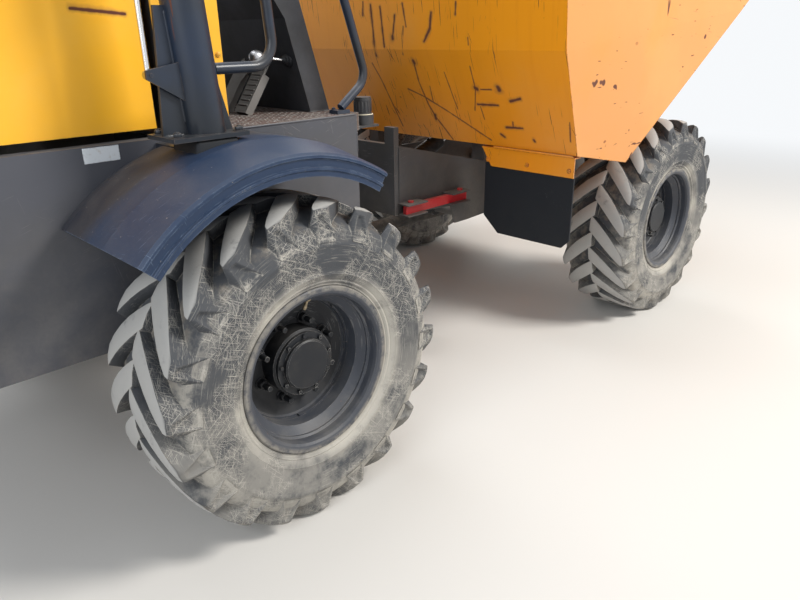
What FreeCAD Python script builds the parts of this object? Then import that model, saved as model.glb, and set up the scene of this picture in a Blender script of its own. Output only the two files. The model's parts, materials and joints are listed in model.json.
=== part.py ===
import FreeCAD, Part
import math
import os
import re
import Sketcher
from FreeCAD import Placement, Rotation, Vector

# Articulated forward-tipping site dumper, in millimetres.
# X points forward to the skip, Y to the left, Z up from the ground.

doc = FreeCAD.newDocument("site_dumper")
sheet = doc.addObject("Spreadsheet::Sheet", "Sizes")

sizes = {
    # whole machine
    "wheelbase": 2470,
    "rear_reach": 1015,
    "front_reach": 865,
    "pivot_ahead": 785,
    "axle_height": 535,
    "track_width": 1832,
    # wheels
    "tyre_diameter": 1070,
    "tyre_width": 405,
    "tyre_wall": 28,
    "lug_height": 34,
    "tyre_sides": 20,
    "lugs_a_side": 20,
    "lug_angle": 9.6,
    "lug_end_angle": 6.4,
    "lug_sweep": 20,
    "rim_diameter": 560,
    "bead_diameter": 508,
    "well_diameter": 444,
    "rim_width": 354,
    "rim_wall": 8,
    "disc_wall": 14,
    "disc_offset": 20,
    "disc_flat_diameter": 340,
    "disc_rise": 18,
    "disc_lobes": 4,
    "disc_lobe_rise": 34,
    "hub_flange_diameter": 310,
    "hub_barrel_diameter": 230,
    "hub_step_diameter": 215,
    "hub_cap_diameter": 170,
    "hub_drum_diameter": 240,
    "hub_nose": 112,
    "seat_gap": 0.3,
    "running_gap": 0.3,
    "moving_gap": 6,
    # axles
    "axle_tube_diameter": 124,
    "spindle_diameter": 90,
    "axle_flange_diameter": 220,
    "axle_flange_wall": 25,
    "differential_diameter": 320,
    "differential_width": 220,
    "shaft_diameter": 70,
    # rear chassis
    "rear_width": 1300,
    "rear_bottom": 620,
    "rear_top": 1242,
    "rear_length": 880,
    "rear_front": 575,
    "side_wall": 10,
    "flange_wall": 12,
    "flange_width": 80,
    "nose_chamfer": 180,
    "lug_wall": 40,
    "lug_radius": 80,
    "nose_width": 460,
    "knuckle_bottom": 700,
    "knuckle_top": 1010,
    "thrust_gap": 2,
    "kingpin_diameter": 80,
    "crossbeam_height": 68,
    "crossbeam_width": 90,
    "counterweight_depth": 50,
    # knuckle and steering
    "knuckle_radius": 75,
    "swing_height": 880,
    "swing_pin_diameter": 100,
    "swing_pin_end": 330,
    "steer_arm_radius": 150,
    "steer_ram_height": 820,
    "steer_ram_length": 560,
    "steer_barrel_diameter": 70,
    "steer_rod_diameter": 36,
    "eye_diameter": 64,
    "eye_width": 40,
    "fork_wall": 14,
    "fork_gap": 3,
    # front frame
    "front_width": 900,
    "front_wall": 12,
    "front_tail": 177,
    "front_tail_bottom": 735,
    "front_tail_top": 1059,
    "front_belly": 640,
    "front_deck": 858,
    "front_nose": 395,
    "plate_wall": 30,
    "tie_hole_diameter": 50,
    "tie_hole_inset": 60,
    # skip
    "skip_width": 2200,
    "skip_wall": 8,
    "skip_rear": 1235,
    "skip_rear_top": 1850,
    "skip_bend_height": 1448,
    "skip_bend_inset": 44,
    "skip_heel_inset": 236,
    "skip_heel_height": 1013,
    "skip_toe_ahead": 536,
    "skip_toe_height": 922,
    "skip_lip_height": 1805,
    "skip_lean": 28,
    "skip_lean_depth": 500,
    "skip_crease_rise": 5.5,
    "skip_rim_height": 50,
    "skip_rim_wall": 10,
    "tip_ahead": 265,
    "tip_height": 950,
    "tip_pin_diameter": 60,
    "tip_boss_radius": 65,
    "hinge_plate_wall": 25,
    "rest_gap": 0.3,
    # tip rams
    "ram_spacing": 500,
    "ram_base_behind": 1035,
    "ram_base_height": 660,
    "ram_eye_behind": 185,
    "ram_eye_height": 985,
    "ram_barrel_diameter": 96,
    "ram_barrel_length": 640,
    "ram_rod_diameter": 50,
    "ram_eye_diameter": 84,
    "ram_eye_width": 60,
    "ram_pin_diameter": 44,
    # flaps and locking bar
    "flap_half_outer": 1066,
    "flap_half_inner": 550,
    "flap_wall": 8,
    "flap_top": 930,
    "flap_bottom": 585,
    "flap_bracket_wall": 6,
    "lock_bar_length": 430,
    "lock_bar_height": 44,
    "lock_bar_wall": 20,
    "lock_pin_diameter": 16,
    "tab_width": 60,
    "tab_rise": 76,
    "ledge_wall": 6,
    # platform, seat and console
    "deck_wall": 6,
    "deck_rear": 165,
    "seat_panel_top": 1700,
    "seat_panel_front": 50,
    "seat_deck_height": 1600,
    "panel_wall": 8,
    "body_width": 1240,
    "cushion_height": 110,
    "cushion_length": 420,
    "cushion_width": 480,
    "back_height": 430,
    "back_wall": 90,
    "console_width": 1000,
    "console_wall": 6,
    "wheel_radius": 190,
    "wheel_rim_radius": 15,
    "spoke_radius": 8,
    "column_length": 190,
    "pedal_lean": 35,
    "pedal_length": 225,
    "pedal_width": 76,
    "pedal_wall": 8,
    "breather_diameter": 66,
    "breather_cap_diameter": 84,
    # bonnet
    "bonnet_front": 200,
    "bonnet_rear": 845,
    "bonnet_bottom": 1268,
    "bonnet_top": 1800,
    "bonnet_rear_top": 1650,
    "bonnet_wall": 5,
    "bonnet_rear_lean": 50,
    "grille_width": 760,
    "grille_depth": 14,
    "grille_margin": 60,
    "grille_slots": 7,
    "grille_pitch": 32,
    "hinge_pin_diameter": 12,
    # roll frame and rails
    "post_diameter": 114,
    "post_offset": 850,
    "post_behind": 165,
    "post_foot": 1270,
    "post_lean": 4,
    "hoop_hinge_height": 1975,
    "hoop_hinge_behind": 75,
    "hoop_top": 3000,
    "hoop_bend": 160,
    "joint_plate": 14,
    "rail_diameter": 32,
    "rail_bend": 70,
    "rail_low": 170,
    "rail_high": 640,
    "rail_reach": 250,
    "front_rail_height": 640,
    "tube_wall": 6,
    "strut_clear": 28.5,
    "strut_foot_height": 1433,
    "strut_head_rise": 145,
    "strut_rod_diameter": 14,
    "strut_tube_diameter": 30,
    "strut_eye_diameter": 30,
    "strut_eye_width": 18,
    # mudguards
    "guard_centre_behind": 55,
    "guard_centre_raise": 45,
    "guard_radius": 655,
    "guard_inner_radius": 672,
    "guard_skirt": 75,
    "guard_outer": 1120,
    "guard_wall": 6,
    "guard_channel": 7,
    "guard_start": 58,
    "guard_sweep": 79,
    # engine and driveline
    "engine_length": 460,
    "engine_width": 460,
    "engine_top": 1420,
    "gearbox_width": 360,
    "gearbox_top": 1050,
    # hitch
    "hitch_plate_wall": 25,
    "hitch_hole_diameter": 32,
    "hitch_gap": 70,
    "hitch_height": 720,
    "hitch_back_wall": 15,
    "hitch_hole_inset": 30,
}

for row, (alias, size) in enumerate(sizes.items(), start=1):
    sheet.set(f"A{row}", alias)
    sheet.set(f"B{row}", str(size))
    sheet.setAlias(f"B{row}", alias)
doc.recompute()

# Places that follow from the sizes: each name stands for its formula.
places = {
    "rear_axle": "(rear_reach - front_reach - wheelbase) / 2",
    "front_axle": "rear_axle + wheelbase",
    "rear_end": "rear_axle - rear_length",
    "chassis_front": "rear_axle + rear_front",
    "pivot": "rear_axle + pivot_ahead",
    "track_half": "track_width / 2",
    "rear_half": "rear_width / 2",
    "front_half": "front_width / 2",
    "front_tail_end": "pivot + front_tail",
    "front_nose_end": "front_axle + front_nose",
    "deck_top": "rear_top + deck_wall",
    "skip_half": "skip_width / 2",
    "skip_back": "front_axle - skip_rear",
    "skip_heel": "skip_back + skip_heel_inset",
    "skip_toe": "front_axle - skip_toe_ahead",
    "skip_lip": "front_axle + front_reach",
    "tip_axis": "front_axle + tip_ahead",
    "ram_base": "front_axle - ram_base_behind",
    "ram_eye": "front_axle - ram_eye_behind",
    "steer_ram_base": "pivot - steer_ram_length",
    "bonnet_start": "rear_axle - bonnet_front",
    "bonnet_end": "rear_axle - bonnet_rear",
    "bonnet_axis": "bonnet_start + hinge_pin_diameter + 2",
    "body_half": "body_width / 2",
    "post_axis": "rear_axle - post_behind",
    "post_top": "hoop_hinge_height - joint_plate",
    "post_top_axis": "post_axis - (post_top - post_foot) * tan(post_lean)",
    "hoop_axis": "post_top_axis - hoop_hinge_behind",
    "strut_head": "hoop_hinge_height + strut_head_rise",
    "strut_foot": "post_top_axis - (strut_head - post_top) * tan(post_lean) - post_diameter / 2 - strut_clear",
}


def formula(text):
    def known(match):
        word = match.group(0)
        if word in places:
            return "(" + formula(places[word]) + ")"
        return "Sizes." + word if word in sizes else word
    return re.sub(r"[a-z_]+", known, str(text))


def measure(text):
    return float(sheet.evalExpression(formula(text)))


def bind(item, name, text):
    item.setExpression(name, formula(text))


def put(item, x=0, y=0, z=0):
    for axis, text in zip("xyz", (x, y, z)):
        bind(item, f"Placement.Base.{axis}", text)
    return item


def block(name, x, y, z):
    item = doc.addObject("Part::Box", name)
    for side, (low, high) in zip(("Length", "Width", "Height"), (x, y, z)):
        bind(item, side, f"({high}) - ({low})")
    return put(item, x[0], y[0], z[0])


turns = {"x": Rotation(Vector(0, 1, 0), 90), "y": Rotation(Vector(1, 0, 0), -90), "z": Rotation()}


def rod(name, axis, diameter, low, high, x=0, y=0, z=0):
    item = doc.addObject("Part::Cylinder", name)
    bind(item, "Radius", f"({diameter}) / 2")
    bind(item, "Height", f"({high}) - ({low})")
    item.Placement = Placement(Vector(), turns[axis])
    start = {"x": x, "y": y, "z": z, axis: low}
    return put(item, start["x"], start["y"], start["z"])


def fuse(name, pieces):
    item = doc.addObject("Part::MultiFuse", name)
    item.Shapes = pieces
    item.Refine = True
    return item


def cut(name, base, tool):
    item = doc.addObject("Part::Cut", name)
    item.Base = base
    item.Tool = tool
    return item


def origin_plane(body, role):
    return next(item for item in body.Origin.OriginFeatures if item.Role == role)


def outline(body, role, points):
    sketch = body.newObject("Sketcher::SketchObject", body.Name + "_outline")
    sketch.AttachmentSupport = (origin_plane(body, role), "")
    sketch.MapMode = "FlatFace"
    corners = [Vector(measure(across), measure(up), 0) for across, up in points]
    count = len(corners)
    for index, corner in enumerate(corners):
        sketch.addGeometry(Part.LineSegment(corner, corners[(index + 1) % count]))
    for index in range(count):
        sketch.addConstraint(Sketcher.Constraint("Coincident", index, 2, (index + 1) % count, 1))
    for index, texts in enumerate(points):
        for kind, text in zip(("DistanceX", "DistanceY"), texts):
            number = sketch.addConstraint(Sketcher.Constraint(kind, index, 1, measure(text)))
            bind(sketch, f"Constraints[{number}]", text)
    return sketch


def plate(name, role, points, low, high):
    body = doc.addObject("PartDesign::Body", name)
    sketch = outline(body, role, points)
    backward = role == "XZ_Plane"
    bind(sketch, "AttachmentOffset.Base.z", f"-({low})" if backward else low)
    pad = body.newObject("PartDesign::Pad", name + "_pad")
    pad.Profile = sketch
    pad.Reversed = backward
    bind(pad, "Length", f"({high}) - ({low})")
    body.Tip = pad
    return body


def turned(name, points, angle="360"):
    body = doc.addObject("PartDesign::Body", name)
    sketch = outline(body, "XY_Plane", points)
    turn = body.newObject("PartDesign::Revolution", name + "_turn")
    turn.Profile = sketch
    turn.ReferenceAxis = (sketch, ["V_Axis"])
    bind(turn, "Angle", angle)
    body.Tip = turn
    return body


def hollowed(name, points, low, high, wall, open_sides):
    body = plate(name, "XZ_Plane", points, low, high)
    doc.recompute()
    solid = body.Tip
    faces = []
    for number, face in enumerate(solid.Shape.Faces, start=1):
        normal = face.normalAt(0, 0)
        if any(normal.dot(Vector(*side)) > 0.8 for side in open_sides):
            faces.append(f"Face{number}")
    shell = body.newObject("PartDesign::Thickness", name + "_shell")
    shell.Base = (solid, faces)
    bind(shell, "Value", wall)
    shell.Mode = 0
    shell.Join = 1
    shell.Reversed = True
    body.Tip = shell
    return body


def bent_tube(name, points, diameter, bend):
    corners = [Vector(*(measure(text) for text in point)) for point in points]
    radius = measure(bend)
    edges = []
    start = corners[0]
    for before, corner, after in zip(corners, corners[1:], corners[2:]):
        arrive = (corner - before).normalize()
        leave = (after - corner).normalize()
        half = arrive.getAngle(leave) / 2
        cut_back = radius * math.tan(half)
        first = corner - arrive * cut_back
        last = corner + leave * cut_back
        inward = (leave - arrive).normalize()
        middle = corner + inward * (radius / math.cos(half) - radius)
        edges.append(Part.LineSegment(start, first).toShape())
        edges.append(Part.Arc(first, middle, last).toShape())
        start = last
    edges.append(Part.LineSegment(start, corners[-1]).toShape())
    direction = corners[1] - corners[0]
    ring = Part.Wire(Part.makeCircle(measure(diameter) / 2, corners[0], direction))
    item = doc.addObject("Part::Feature", name)
    item.Shape = Part.Wire(edges).makePipeShell([ring], True, False)
    return item


def between(name, diameter, start, end):
    first = Vector(*(measure(text) for text in start))
    last = Vector(*(measure(text) for text in end))
    item = doc.addObject("Part::Feature", name)
    item.Shape = Part.makeCylinder(measure(diameter) / 2, (last - first).Length, first, last - first)
    return item


def mirror_y(side, low, high):
    return (low, high) if side > 0 else (f"-({high})", f"-({low})")


sub_parts = []


def sub_part(label, item):
    item.Label = label
    sub_parts.append(item)


sides = {"left": 1, "right": -1}
wheel_places = [
    # name, axle, side
    ("front_left", "front_axle", 1),
    ("front_right", "front_axle", -1),
    ("rear_left", "rear_axle", 1),
    ("rear_right", "rear_axle", -1),
]


def on_tyre(radius, angle, across):
    turn = math.radians(angle)
    return Vector(radius * math.sin(turn), across, radius * math.cos(turn))


def faceted(name, rings, outward=True):
    # closes a row of point rings, all of one count, with flat facets and two end caps
    count = len(rings[0])
    corners = [rings[0], list(reversed(rings[-1]))]
    for near, far in zip(rings, rings[1:]):
        for number in range(count):
            following = (number + 1) % count
            corners.append([near[number], far[number], far[following]])
            corners.append([near[number], far[following], near[following]])
    faces = []
    for points in corners:
        points = [point for point, following in zip(points, points[1:] + points[:1])
                  if (point - following).Length > 0.001]
        if len(points) > 2:
            points = points if outward else list(reversed(points))
            faces.append(Part.Face(Part.makePolygon(points + points[:1])))
    item = doc.addObject("Part::Feature", name)
    item.Shape = Part.makeSolid(Part.makeShell(faces)).removeSplitter()
    return item


def make_tread_half(name, side):
    # each lug runs back from the tread's middle to the shoulder and ends in a buttress on the sidewall
    count = int(measure("lugs_a_side"))
    half_angle = measure("lug_angle / 2")
    phase = half_angle if side > 0 else half_angle + 180 / count
    rings = []
    for across, lag, top, half_top, groove, half_foot in [
        ("0", "0", "tyre_diameter / 2", "lug_angle / 2", "tyre_diameter / 2 - lug_height", "lug_angle / 2"),
        ("tyre_width / 2 - 20", "lug_sweep", "tyre_diameter / 2 - 9", "lug_end_angle / 2",
         "tyre_diameter / 2 - lug_height - 30", "lug_end_angle / 2 + 2"),
        ("tyre_width / 2", "lug_sweep - 2", "tyre_diameter / 2 - 112", "lug_angle / 2 + 0.6",
         "tyre_diameter / 2 - 112", "lug_angle / 2 + 0.6"),
    ]:
        points = []
        for number in range(count):
            middle = number * 360 / count + phase - measure(lag)
            for radius, angle in ((groove, f"-({half_foot})"), (top, f"-({half_top})"), (top, half_top),
                                  (groove, half_foot)):
                points.append(on_tyre(measure(radius), middle + measure(angle), side * measure(across)))
        rings.append(points)
    return faceted(name, rings, side < 0)


def make_tyre(name):
    bead = "(bead_diameter / 2 + seat_gap) / cos(180 / tyre_sides)"
    wide = "tyre_width / 2"
    tread = "(tyre_diameter / 2 - lug_height)"
    seat = "rim_width / 2 - rim_wall - seat_gap"
    half = [(measure(radius), measure(across)) for radius, across in [
        ("rim_diameter / 2 + 120", f"{wide} + 2"),
        ("rim_diameter / 2 + 5", seat),
        (bead, seat),
        (bead, f"{seat} - 24"),
        (f"{tread} - 60", f"{wide} - tyre_wall - 14"),
    ]]
    count = int(measure("tyre_sides"))
    rings = [[on_tyre(radius, number * 360 / count, across) for number in range(count)]
             for radius, across in half + [(radius, -across) for radius, across in reversed(half)]]
    return cut(name, fuse(name + "_solid", [
        make_tread_half(name + "_left", 1), make_tread_half(name + "_right", -1)
    ]), faceted(name + "_inside", rings, False))


def make_rim(name):
    lip = "rim_width / 2"
    flange = "rim_diameter / 2"
    bead = "bead_diameter / 2"
    well = "well_diameter / 2"
    air = f"({well} - rim_wall)"
    tyre_side = [
        (f"{flange} - 4", lip),
        (flange, f"{lip} - 3"),
        (flange, f"{lip} - rim_wall"),
        (bead, f"{lip} - rim_wall"),
        (f"{bead} - 2", f"{lip} - 59"),
        (well, f"{lip} - 81"),
        (well, "-40"),
        (f"{bead} - 2", "-62"),
        (bead, f"rim_wall - {lip}"),
        (flange, f"rim_wall - {lip}"),
        (flange, f"-{lip}"),
    ]
    air_side = [
        (f"{bead} - rim_wall", f"-{lip}"),
        (f"{bead} - rim_wall - 2", "-64"),
        (air, "-44"),
        (air, f"{lip} - 78"),
        (f"{bead} - rim_wall - 6", f"{lip} - 56"),
        (f"{bead} - rim_wall - 6", f"{lip} - 48"),
        (f"{bead} - rim_wall", f"{lip} - 42"),
        (f"{bead} - rim_wall", f"{lip} - 20"),
        (f"{bead} - 5", f"{lip} - 9"),
        (f"{bead} + 2", f"{lip} - 3"),
        (f"{bead} + 10", lip),
    ]
    barrel = turned(name + "_barrel", tyre_side + air_side)
    edge = f"({well} - rim_wall / 2)"
    skirt = f"({air} - 6)"
    disc = turned(name + "_disc", [
        ("hub_barrel_diameter / 2 + seat_gap", "disc_offset"),
        ("disc_flat_diameter / 2", "disc_offset"),
        (f"{skirt} - 4", "disc_offset + disc_rise - 6"),
        (skirt, "disc_offset + disc_rise"),
        (skirt, "disc_offset + disc_lobe_rise"),
        (edge, "disc_offset + disc_lobe_rise"),
        (edge, "disc_offset + disc_rise - disc_wall"),
        (f"{skirt} - 4", "disc_offset + disc_rise - disc_wall - 6"),
        ("disc_flat_diameter / 2 + 2", "disc_offset - disc_wall"),
        ("hub_barrel_diameter / 2 + seat_gap", "disc_offset - disc_wall"),
    ])
    bays = []
    for number in range(int(measure("disc_lobes"))):
        bay = turned(f"{name}_bay_{number}", [
            (f"{skirt} - 20", "disc_offset + disc_rise + 2"),
            (f"{air} - 0.5", "disc_offset + disc_rise + 2"),
            (f"{air} - 0.5", "disc_offset + disc_lobe_rise + 5"),
            (f"{skirt} - 20", "disc_offset + disc_lobe_rise + 5"),
        ], "180 / disc_lobes")
        bay.Placement = Placement(Vector(), Rotation(Vector(0, 1, 0), 1))
        bind(bay, "Placement.Rotation.Angle", f"{number} * 360 / disc_lobes + 3")
        bays.append(bay)
    return fuse(name, [barrel, cut(name + "_lobed", disc, fuse(name + "_bays", bays))])


def make_hub(name):
    bore = "spindle_diameter / 2 + running_gap"
    flange_face = "disc_offset - disc_wall - seat_gap"
    return turned(name, [
        (bore, "-110"),
        ("hub_drum_diameter / 2", "-110"),
        ("hub_drum_diameter / 2", f"{flange_face} - 22"),
        ("hub_flange_diameter / 2", f"{flange_face} - 22"),
        ("hub_flange_diameter / 2", flange_face),
        ("hub_barrel_diameter / 2", flange_face),
        ("hub_barrel_diameter / 2", "hub_nose - 32"),
        ("hub_step_diameter / 2", "hub_nose - 28"),
        ("hub_step_diameter / 2", "hub_nose - 16"),
        ("hub_cap_diameter / 2", "hub_nose - 16"),
        ("hub_cap_diameter / 2", "hub_nose - 4"),
        ("hub_cap_diameter / 2 - 5", "hub_nose"),
        ("0", "hub_nose"),
        ("0", "-30"),
        (bore, "-30"),
    ])


def placed_copy(name, master, axle, side):
    source = master
    if side < 0:
        source = doc.addObject("Part::Mirroring", name + "_mirror")
        source.Source = master
        source.Normal = Vector(0, 1, 0)
    item = doc.addObject("Part::Compound", name)
    item.Links = [source]
    return put(item, axle, f"{side} * track_half", "axle_height")


for kind, maker in (("tyre", make_tyre), ("rim", make_rim), ("hub", make_hub)):
    master = maker(kind + "_master")
    for place, axle, side in wheel_places:
        sub_part(f"{kind}_{place}", placed_copy(f"{kind}_{place}", master, axle, side))


def make_axle(name, axle, pad_top, pad_inner, pad_outer, shaft_way, shaft_end):
    end = "track_half - 110 - moving_gap"
    pieces = [
        rod(name + "_tube", "y", "axle_tube_diameter", f"-({end})", end, axle, 0, "axle_height"),
        rod(name + "_spindles", "y", "spindle_diameter", "35 - track_half", "track_half - 35",
            axle, 0, "axle_height"),
        put(turned(name + "_differential", [
            ("0", "-0.75 * differential_width"),
            ("axle_tube_diameter / 2 + 12", "-0.75 * differential_width"),
            ("differential_diameter * 0.36", "-0.58 * differential_width"),
            ("differential_diameter / 2", "-0.3 * differential_width"),
            ("differential_diameter / 2", "0.3 * differential_width"),
            ("differential_diameter * 0.36", "0.58 * differential_width"),
            ("axle_tube_diameter / 2 + 12", "0.75 * differential_width"),
            ("0", "0.75 * differential_width"),
        ]), axle, 0, "axle_height"),
    ]
    for label, side in sides.items():
        low, high = mirror_y(side, f"{end} - axle_flange_wall", end)
        pieces.append(rod(f"{name}_flange_{label}", "y", "axle_flange_diameter", low, high,
                          axle, 0, "axle_height"))
        pieces.append(block(f"{name}_pad_{label}", (f"{axle} - 70", f"{axle} + 70"),
                            mirror_y(side, pad_inner, pad_outer), ("axle_height", pad_top)))
    reach = sorted((axle, shaft_end), key=measure)
    pieces.append(rod(name + "_shaft", "x", "shaft_diameter", reach[0], reach[1], 0, 0, "axle_height"))
    nose = f"{axle} + {shaft_way} * 260"
    reach = sorted((axle, nose), key=measure)
    pieces.append(rod(name + "_nose", "x", "150", reach[0], reach[1], 0, 0, "axle_height"))
    return fuse(name, pieces)


sub_part("rear_axle", make_axle("rear_axle_unit", "rear_axle", "rear_bottom", "rear_half - 90",
                                "rear_half - 15", 1, "pivot - 60"))
sub_part("front_axle", make_axle("front_axle_unit", "front_axle", "front_belly", "front_half - 80",
                                 "front_half + 10", -1, "pivot + 60"))


def make_rear_frame():
    nose_start = "chassis_front - flange_wall"
    pieces = []
    for label, side in sides.items():
        pieces.append(plate(f"rear_side_{label}", "XZ_Plane", [
            ("rear_end", "rear_bottom"),
            ("chassis_front - 140", "rear_bottom"),
            ("chassis_front", "rear_bottom + nose_chamfer"),
            ("chassis_front", "rear_top"),
            ("rear_end", "rear_top"),
        ], *mirror_y(side, "rear_half - side_wall", "rear_half")))
        pieces.append(block(f"rear_low_flange_{label}", ("rear_end", "chassis_front - 140"),
                            mirror_y(side, "rear_half - side_wall - flange_width", "rear_half - side_wall"),
                            ("rear_bottom", "rear_bottom + flange_wall")))
        pieces.append(block(f"rear_top_flange_{label}", ("rear_end", "chassis_front"),
                            mirror_y(side, "rear_half - 50", "rear_half"),
                            ("rear_top - flange_wall", "rear_top")))
        pieces.append(plate(f"nose_web_{label}", "XZ_Plane", [
            ("chassis_front - 200", "knuckle_bottom - lug_wall"),
            ("chassis_front + 60", "knuckle_bottom - lug_wall"),
            ("chassis_front + 30", "knuckle_bottom + 60"),
            ("chassis_front + 30", "knuckle_top - 60"),
            ("chassis_front + 60", "knuckle_top + lug_wall"),
            ("chassis_front - 200", "knuckle_top + lug_wall"),
        ], *mirror_y(side, "nose_width / 2 - flange_wall", "nose_width / 2")))
    for label, bottom in (("upper", "knuckle_top + thrust_gap"),
                          ("lower", "knuckle_bottom - thrust_gap - lug_wall")):
        top = f"{bottom} + lug_wall"
        pieces.append(plate(f"nose_lug_{label}", "XY_Plane", [
            ("chassis_front - 200", "-nose_width / 2"),
            ("chassis_front + 40", "-nose_width / 2"),
            ("pivot", "-lug_radius"),
            ("pivot", "lug_radius"),
            ("chassis_front + 40", "nose_width / 2"),
            ("chassis_front - 200", "nose_width / 2"),
        ], bottom, top))
        pieces.append(rod(f"nose_round_{label}", "z", "2 * lug_radius", bottom, top, "pivot"))
    inside = ("side_wall - rear_half", "rear_half - side_wall")
    pieces.append(block("rear_bulkhead", (nose_start, "chassis_front"), inside,
                        ("rear_bottom + nose_chamfer", "rear_top")))
    pieces.append(block("mid_bulkhead", ("steer_ram_base - 55", "steer_ram_base - 43"), inside,
                        ("rear_bottom", "rear_top - 120")))
    pieces.append(block("tail_plate", ("rear_end", "rear_end + flange_wall"), inside,
                        ("rear_bottom", "rear_top")))
    for label, behind in (("tail", 600), ("mid", 272)):
        pieces.append(block(f"crossbeam_{label}",
                            (f"rear_axle - {behind}", f"rear_axle - {behind} + crossbeam_width"),
                            inside, ("rear_bottom + flange_wall",
                                     "rear_bottom + flange_wall + crossbeam_height")))
    for label, low in (("upper", "steer_ram_height + eye_width / 2 + fork_gap"),
                       ("lower", "steer_ram_height - eye_width / 2 - fork_gap - fork_wall")):
        pieces.append(block(f"steer_fork_{label}", ("steer_ram_base - 43", "steer_ram_base + 24"),
                            ("-steer_arm_radius - 45", "45 - steer_arm_radius"), (low, f"{low} + fork_wall")))
    pieces.append(rod("kingpin", "z", "kingpin_diameter", "knuckle_bottom - lug_wall - 30",
                      "knuckle_top + lug_wall + 30", "pivot"))
    pieces.append(rod("steer_base_pin", "z", "eye_diameter / 2 - 2",
                      "steer_ram_height - eye_width / 2 - fork_gap - fork_wall - 8",
                      "steer_ram_height + eye_width / 2 + fork_gap + fork_wall + 8",
                      "steer_ram_base", "-steer_arm_radius"))
    window = block("steer_window", ("chassis_front - 300", "chassis_front + 100"),
                   ("-steer_arm_radius - 62", "62 - steer_arm_radius"),
                   ("steer_ram_height - 55", "steer_ram_height + 55"))
    return cut("rear_frame_unit", fuse("rear_frame_solid", pieces), window)


sub_part("rear_frame", make_rear_frame())

sub_part("counterweight", plate("counterweight_unit", "XZ_Plane", [
    ("rear_end - seat_gap", "rear_bottom - 20"),
    ("rear_end - seat_gap", "rear_top"),
    ("rear_end - counterweight_depth * 0.6", "rear_top"),
    ("rear_end - counterweight_depth", "rear_top - 60"),
    ("rear_end - counterweight_depth", "rear_bottom + 60"),
    ("rear_end - counterweight_depth * 0.6", "rear_bottom - 20"),
], "-rear_half", "rear_half"))

lamp_back = "rear_end - counterweight_depth - 26"
sub_part("rear_lamps", fuse("rear_lamps_unit", [
    block(f"lamp_{label}", (lamp_back, "rear_end - counterweight_depth - seat_gap"),
          mirror_y(side, "rear_half - 200", "rear_half - 40"), ("rear_top - 170", "rear_top - 90"))
    for label, side in sides.items()
] + [
    rod(f"lamp_lens_{label}_{number}", "x", "62", f"{lamp_back} - 8", f"{lamp_back} + 2", 0,
        f"{side} * (rear_half - {inset})", "rear_top - 130")
    for label, side in sides.items() for number, inset in enumerate((80, 160))
]))

hitch_face = "rear_end - counterweight_depth - seat_gap"
hitch_low = "hitch_height - hitch_gap / 2 - hitch_plate_wall"
hitch_high = "hitch_height + hitch_gap / 2"
hitch_pieces = [block("hitch_back", (f"{hitch_face} - hitch_back_wall", hitch_face), ("-80", "80"),
                      (f"{hitch_low} - 30", f"{hitch_high} + hitch_plate_wall + 30"))]
for label, low in (("lower", hitch_low), ("upper", hitch_high)):
    hitch_pieces.append(block(f"hitch_{label}", ("rear_axle - rear_reach", f"{hitch_face} - hitch_back_wall"),
                              ("-50", "50"), (low, f"{low} + hitch_plate_wall")))
sub_part("tow_hitch", cut("tow_hitch_unit", fuse("tow_hitch_solid", hitch_pieces), rod(
    "hitch_hole", "z", "hitch_hole_diameter", f"{hitch_low} - 10", f"{hitch_high} + hitch_plate_wall + 10",
    "rear_axle - rear_reach + hitch_hole_inset")))

beam_top = "rear_bottom + flange_wall + crossbeam_height"
sub_part("engine_block", block("engine_unit", ("rear_axle - 640", "rear_axle - 640 + engine_length"),
                               ("-engine_width / 2", "engine_width / 2"), (beam_top, "engine_top")))
gearbox_end = "steer_ram_base - 55 - moving_gap"
sub_part("gearbox", block("gearbox_unit", ("rear_axle - 640 + engine_length + seat_gap", gearbox_end),
                          ("-gearbox_width / 2", "gearbox_width / 2"), (beam_top, "gearbox_top")))


def make_knuckle():
    low = "knuckle_bottom"
    high = "knuckle_top"
    arm_y = "-steer_arm_radius"
    pieces = [
        rod("knuckle_barrel", "z", "2 * knuckle_radius", low, high, "pivot"),
        block("knuckle_block", ("pivot", "pivot + 110"), ("-70", "70"), ("swing_height - 90", "swing_height + 90")),
        rod("swing_flange", "x", "swing_pin_diameter + 60", "pivot + 90",
            "front_tail_end - moving_gap", 0, 0, "swing_height"),
        rod("swing_pin", "x", "swing_pin_diameter", "pivot + 90", "pivot + swing_pin_end", 0, 0,
            "swing_height"),
    ]
    for label, bottom in (("upper", "steer_ram_height + eye_width / 2 + fork_gap"),
                          ("lower", "steer_ram_height - eye_width / 2 - fork_gap - fork_wall")):
        pieces.append(block(f"arm_{label}", ("pivot - 32", "pivot + 32"), (arm_y, "0"),
                            (bottom, f"{bottom} + fork_wall")))
        pieces.append(rod(f"arm_round_{label}", "z", "64", bottom, f"{bottom} + fork_wall", "pivot",
                          arm_y))
    pieces.append(rod("arm_pin_head", "z", "44", "steer_ram_height + eye_width / 2 + fork_gap + fork_wall",
                      "steer_ram_height + eye_width / 2 + fork_gap + fork_wall + 10", "pivot", arm_y))
    bore = rod("kingpin_bore", "z", "kingpin_diameter + 2 * running_gap", f"{low} - 10", f"{high} + 10",
               "pivot")
    return cut("knuckle_unit", fuse("knuckle_solid", pieces), bore)


sub_part("centre_knuckle", make_knuckle())

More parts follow.
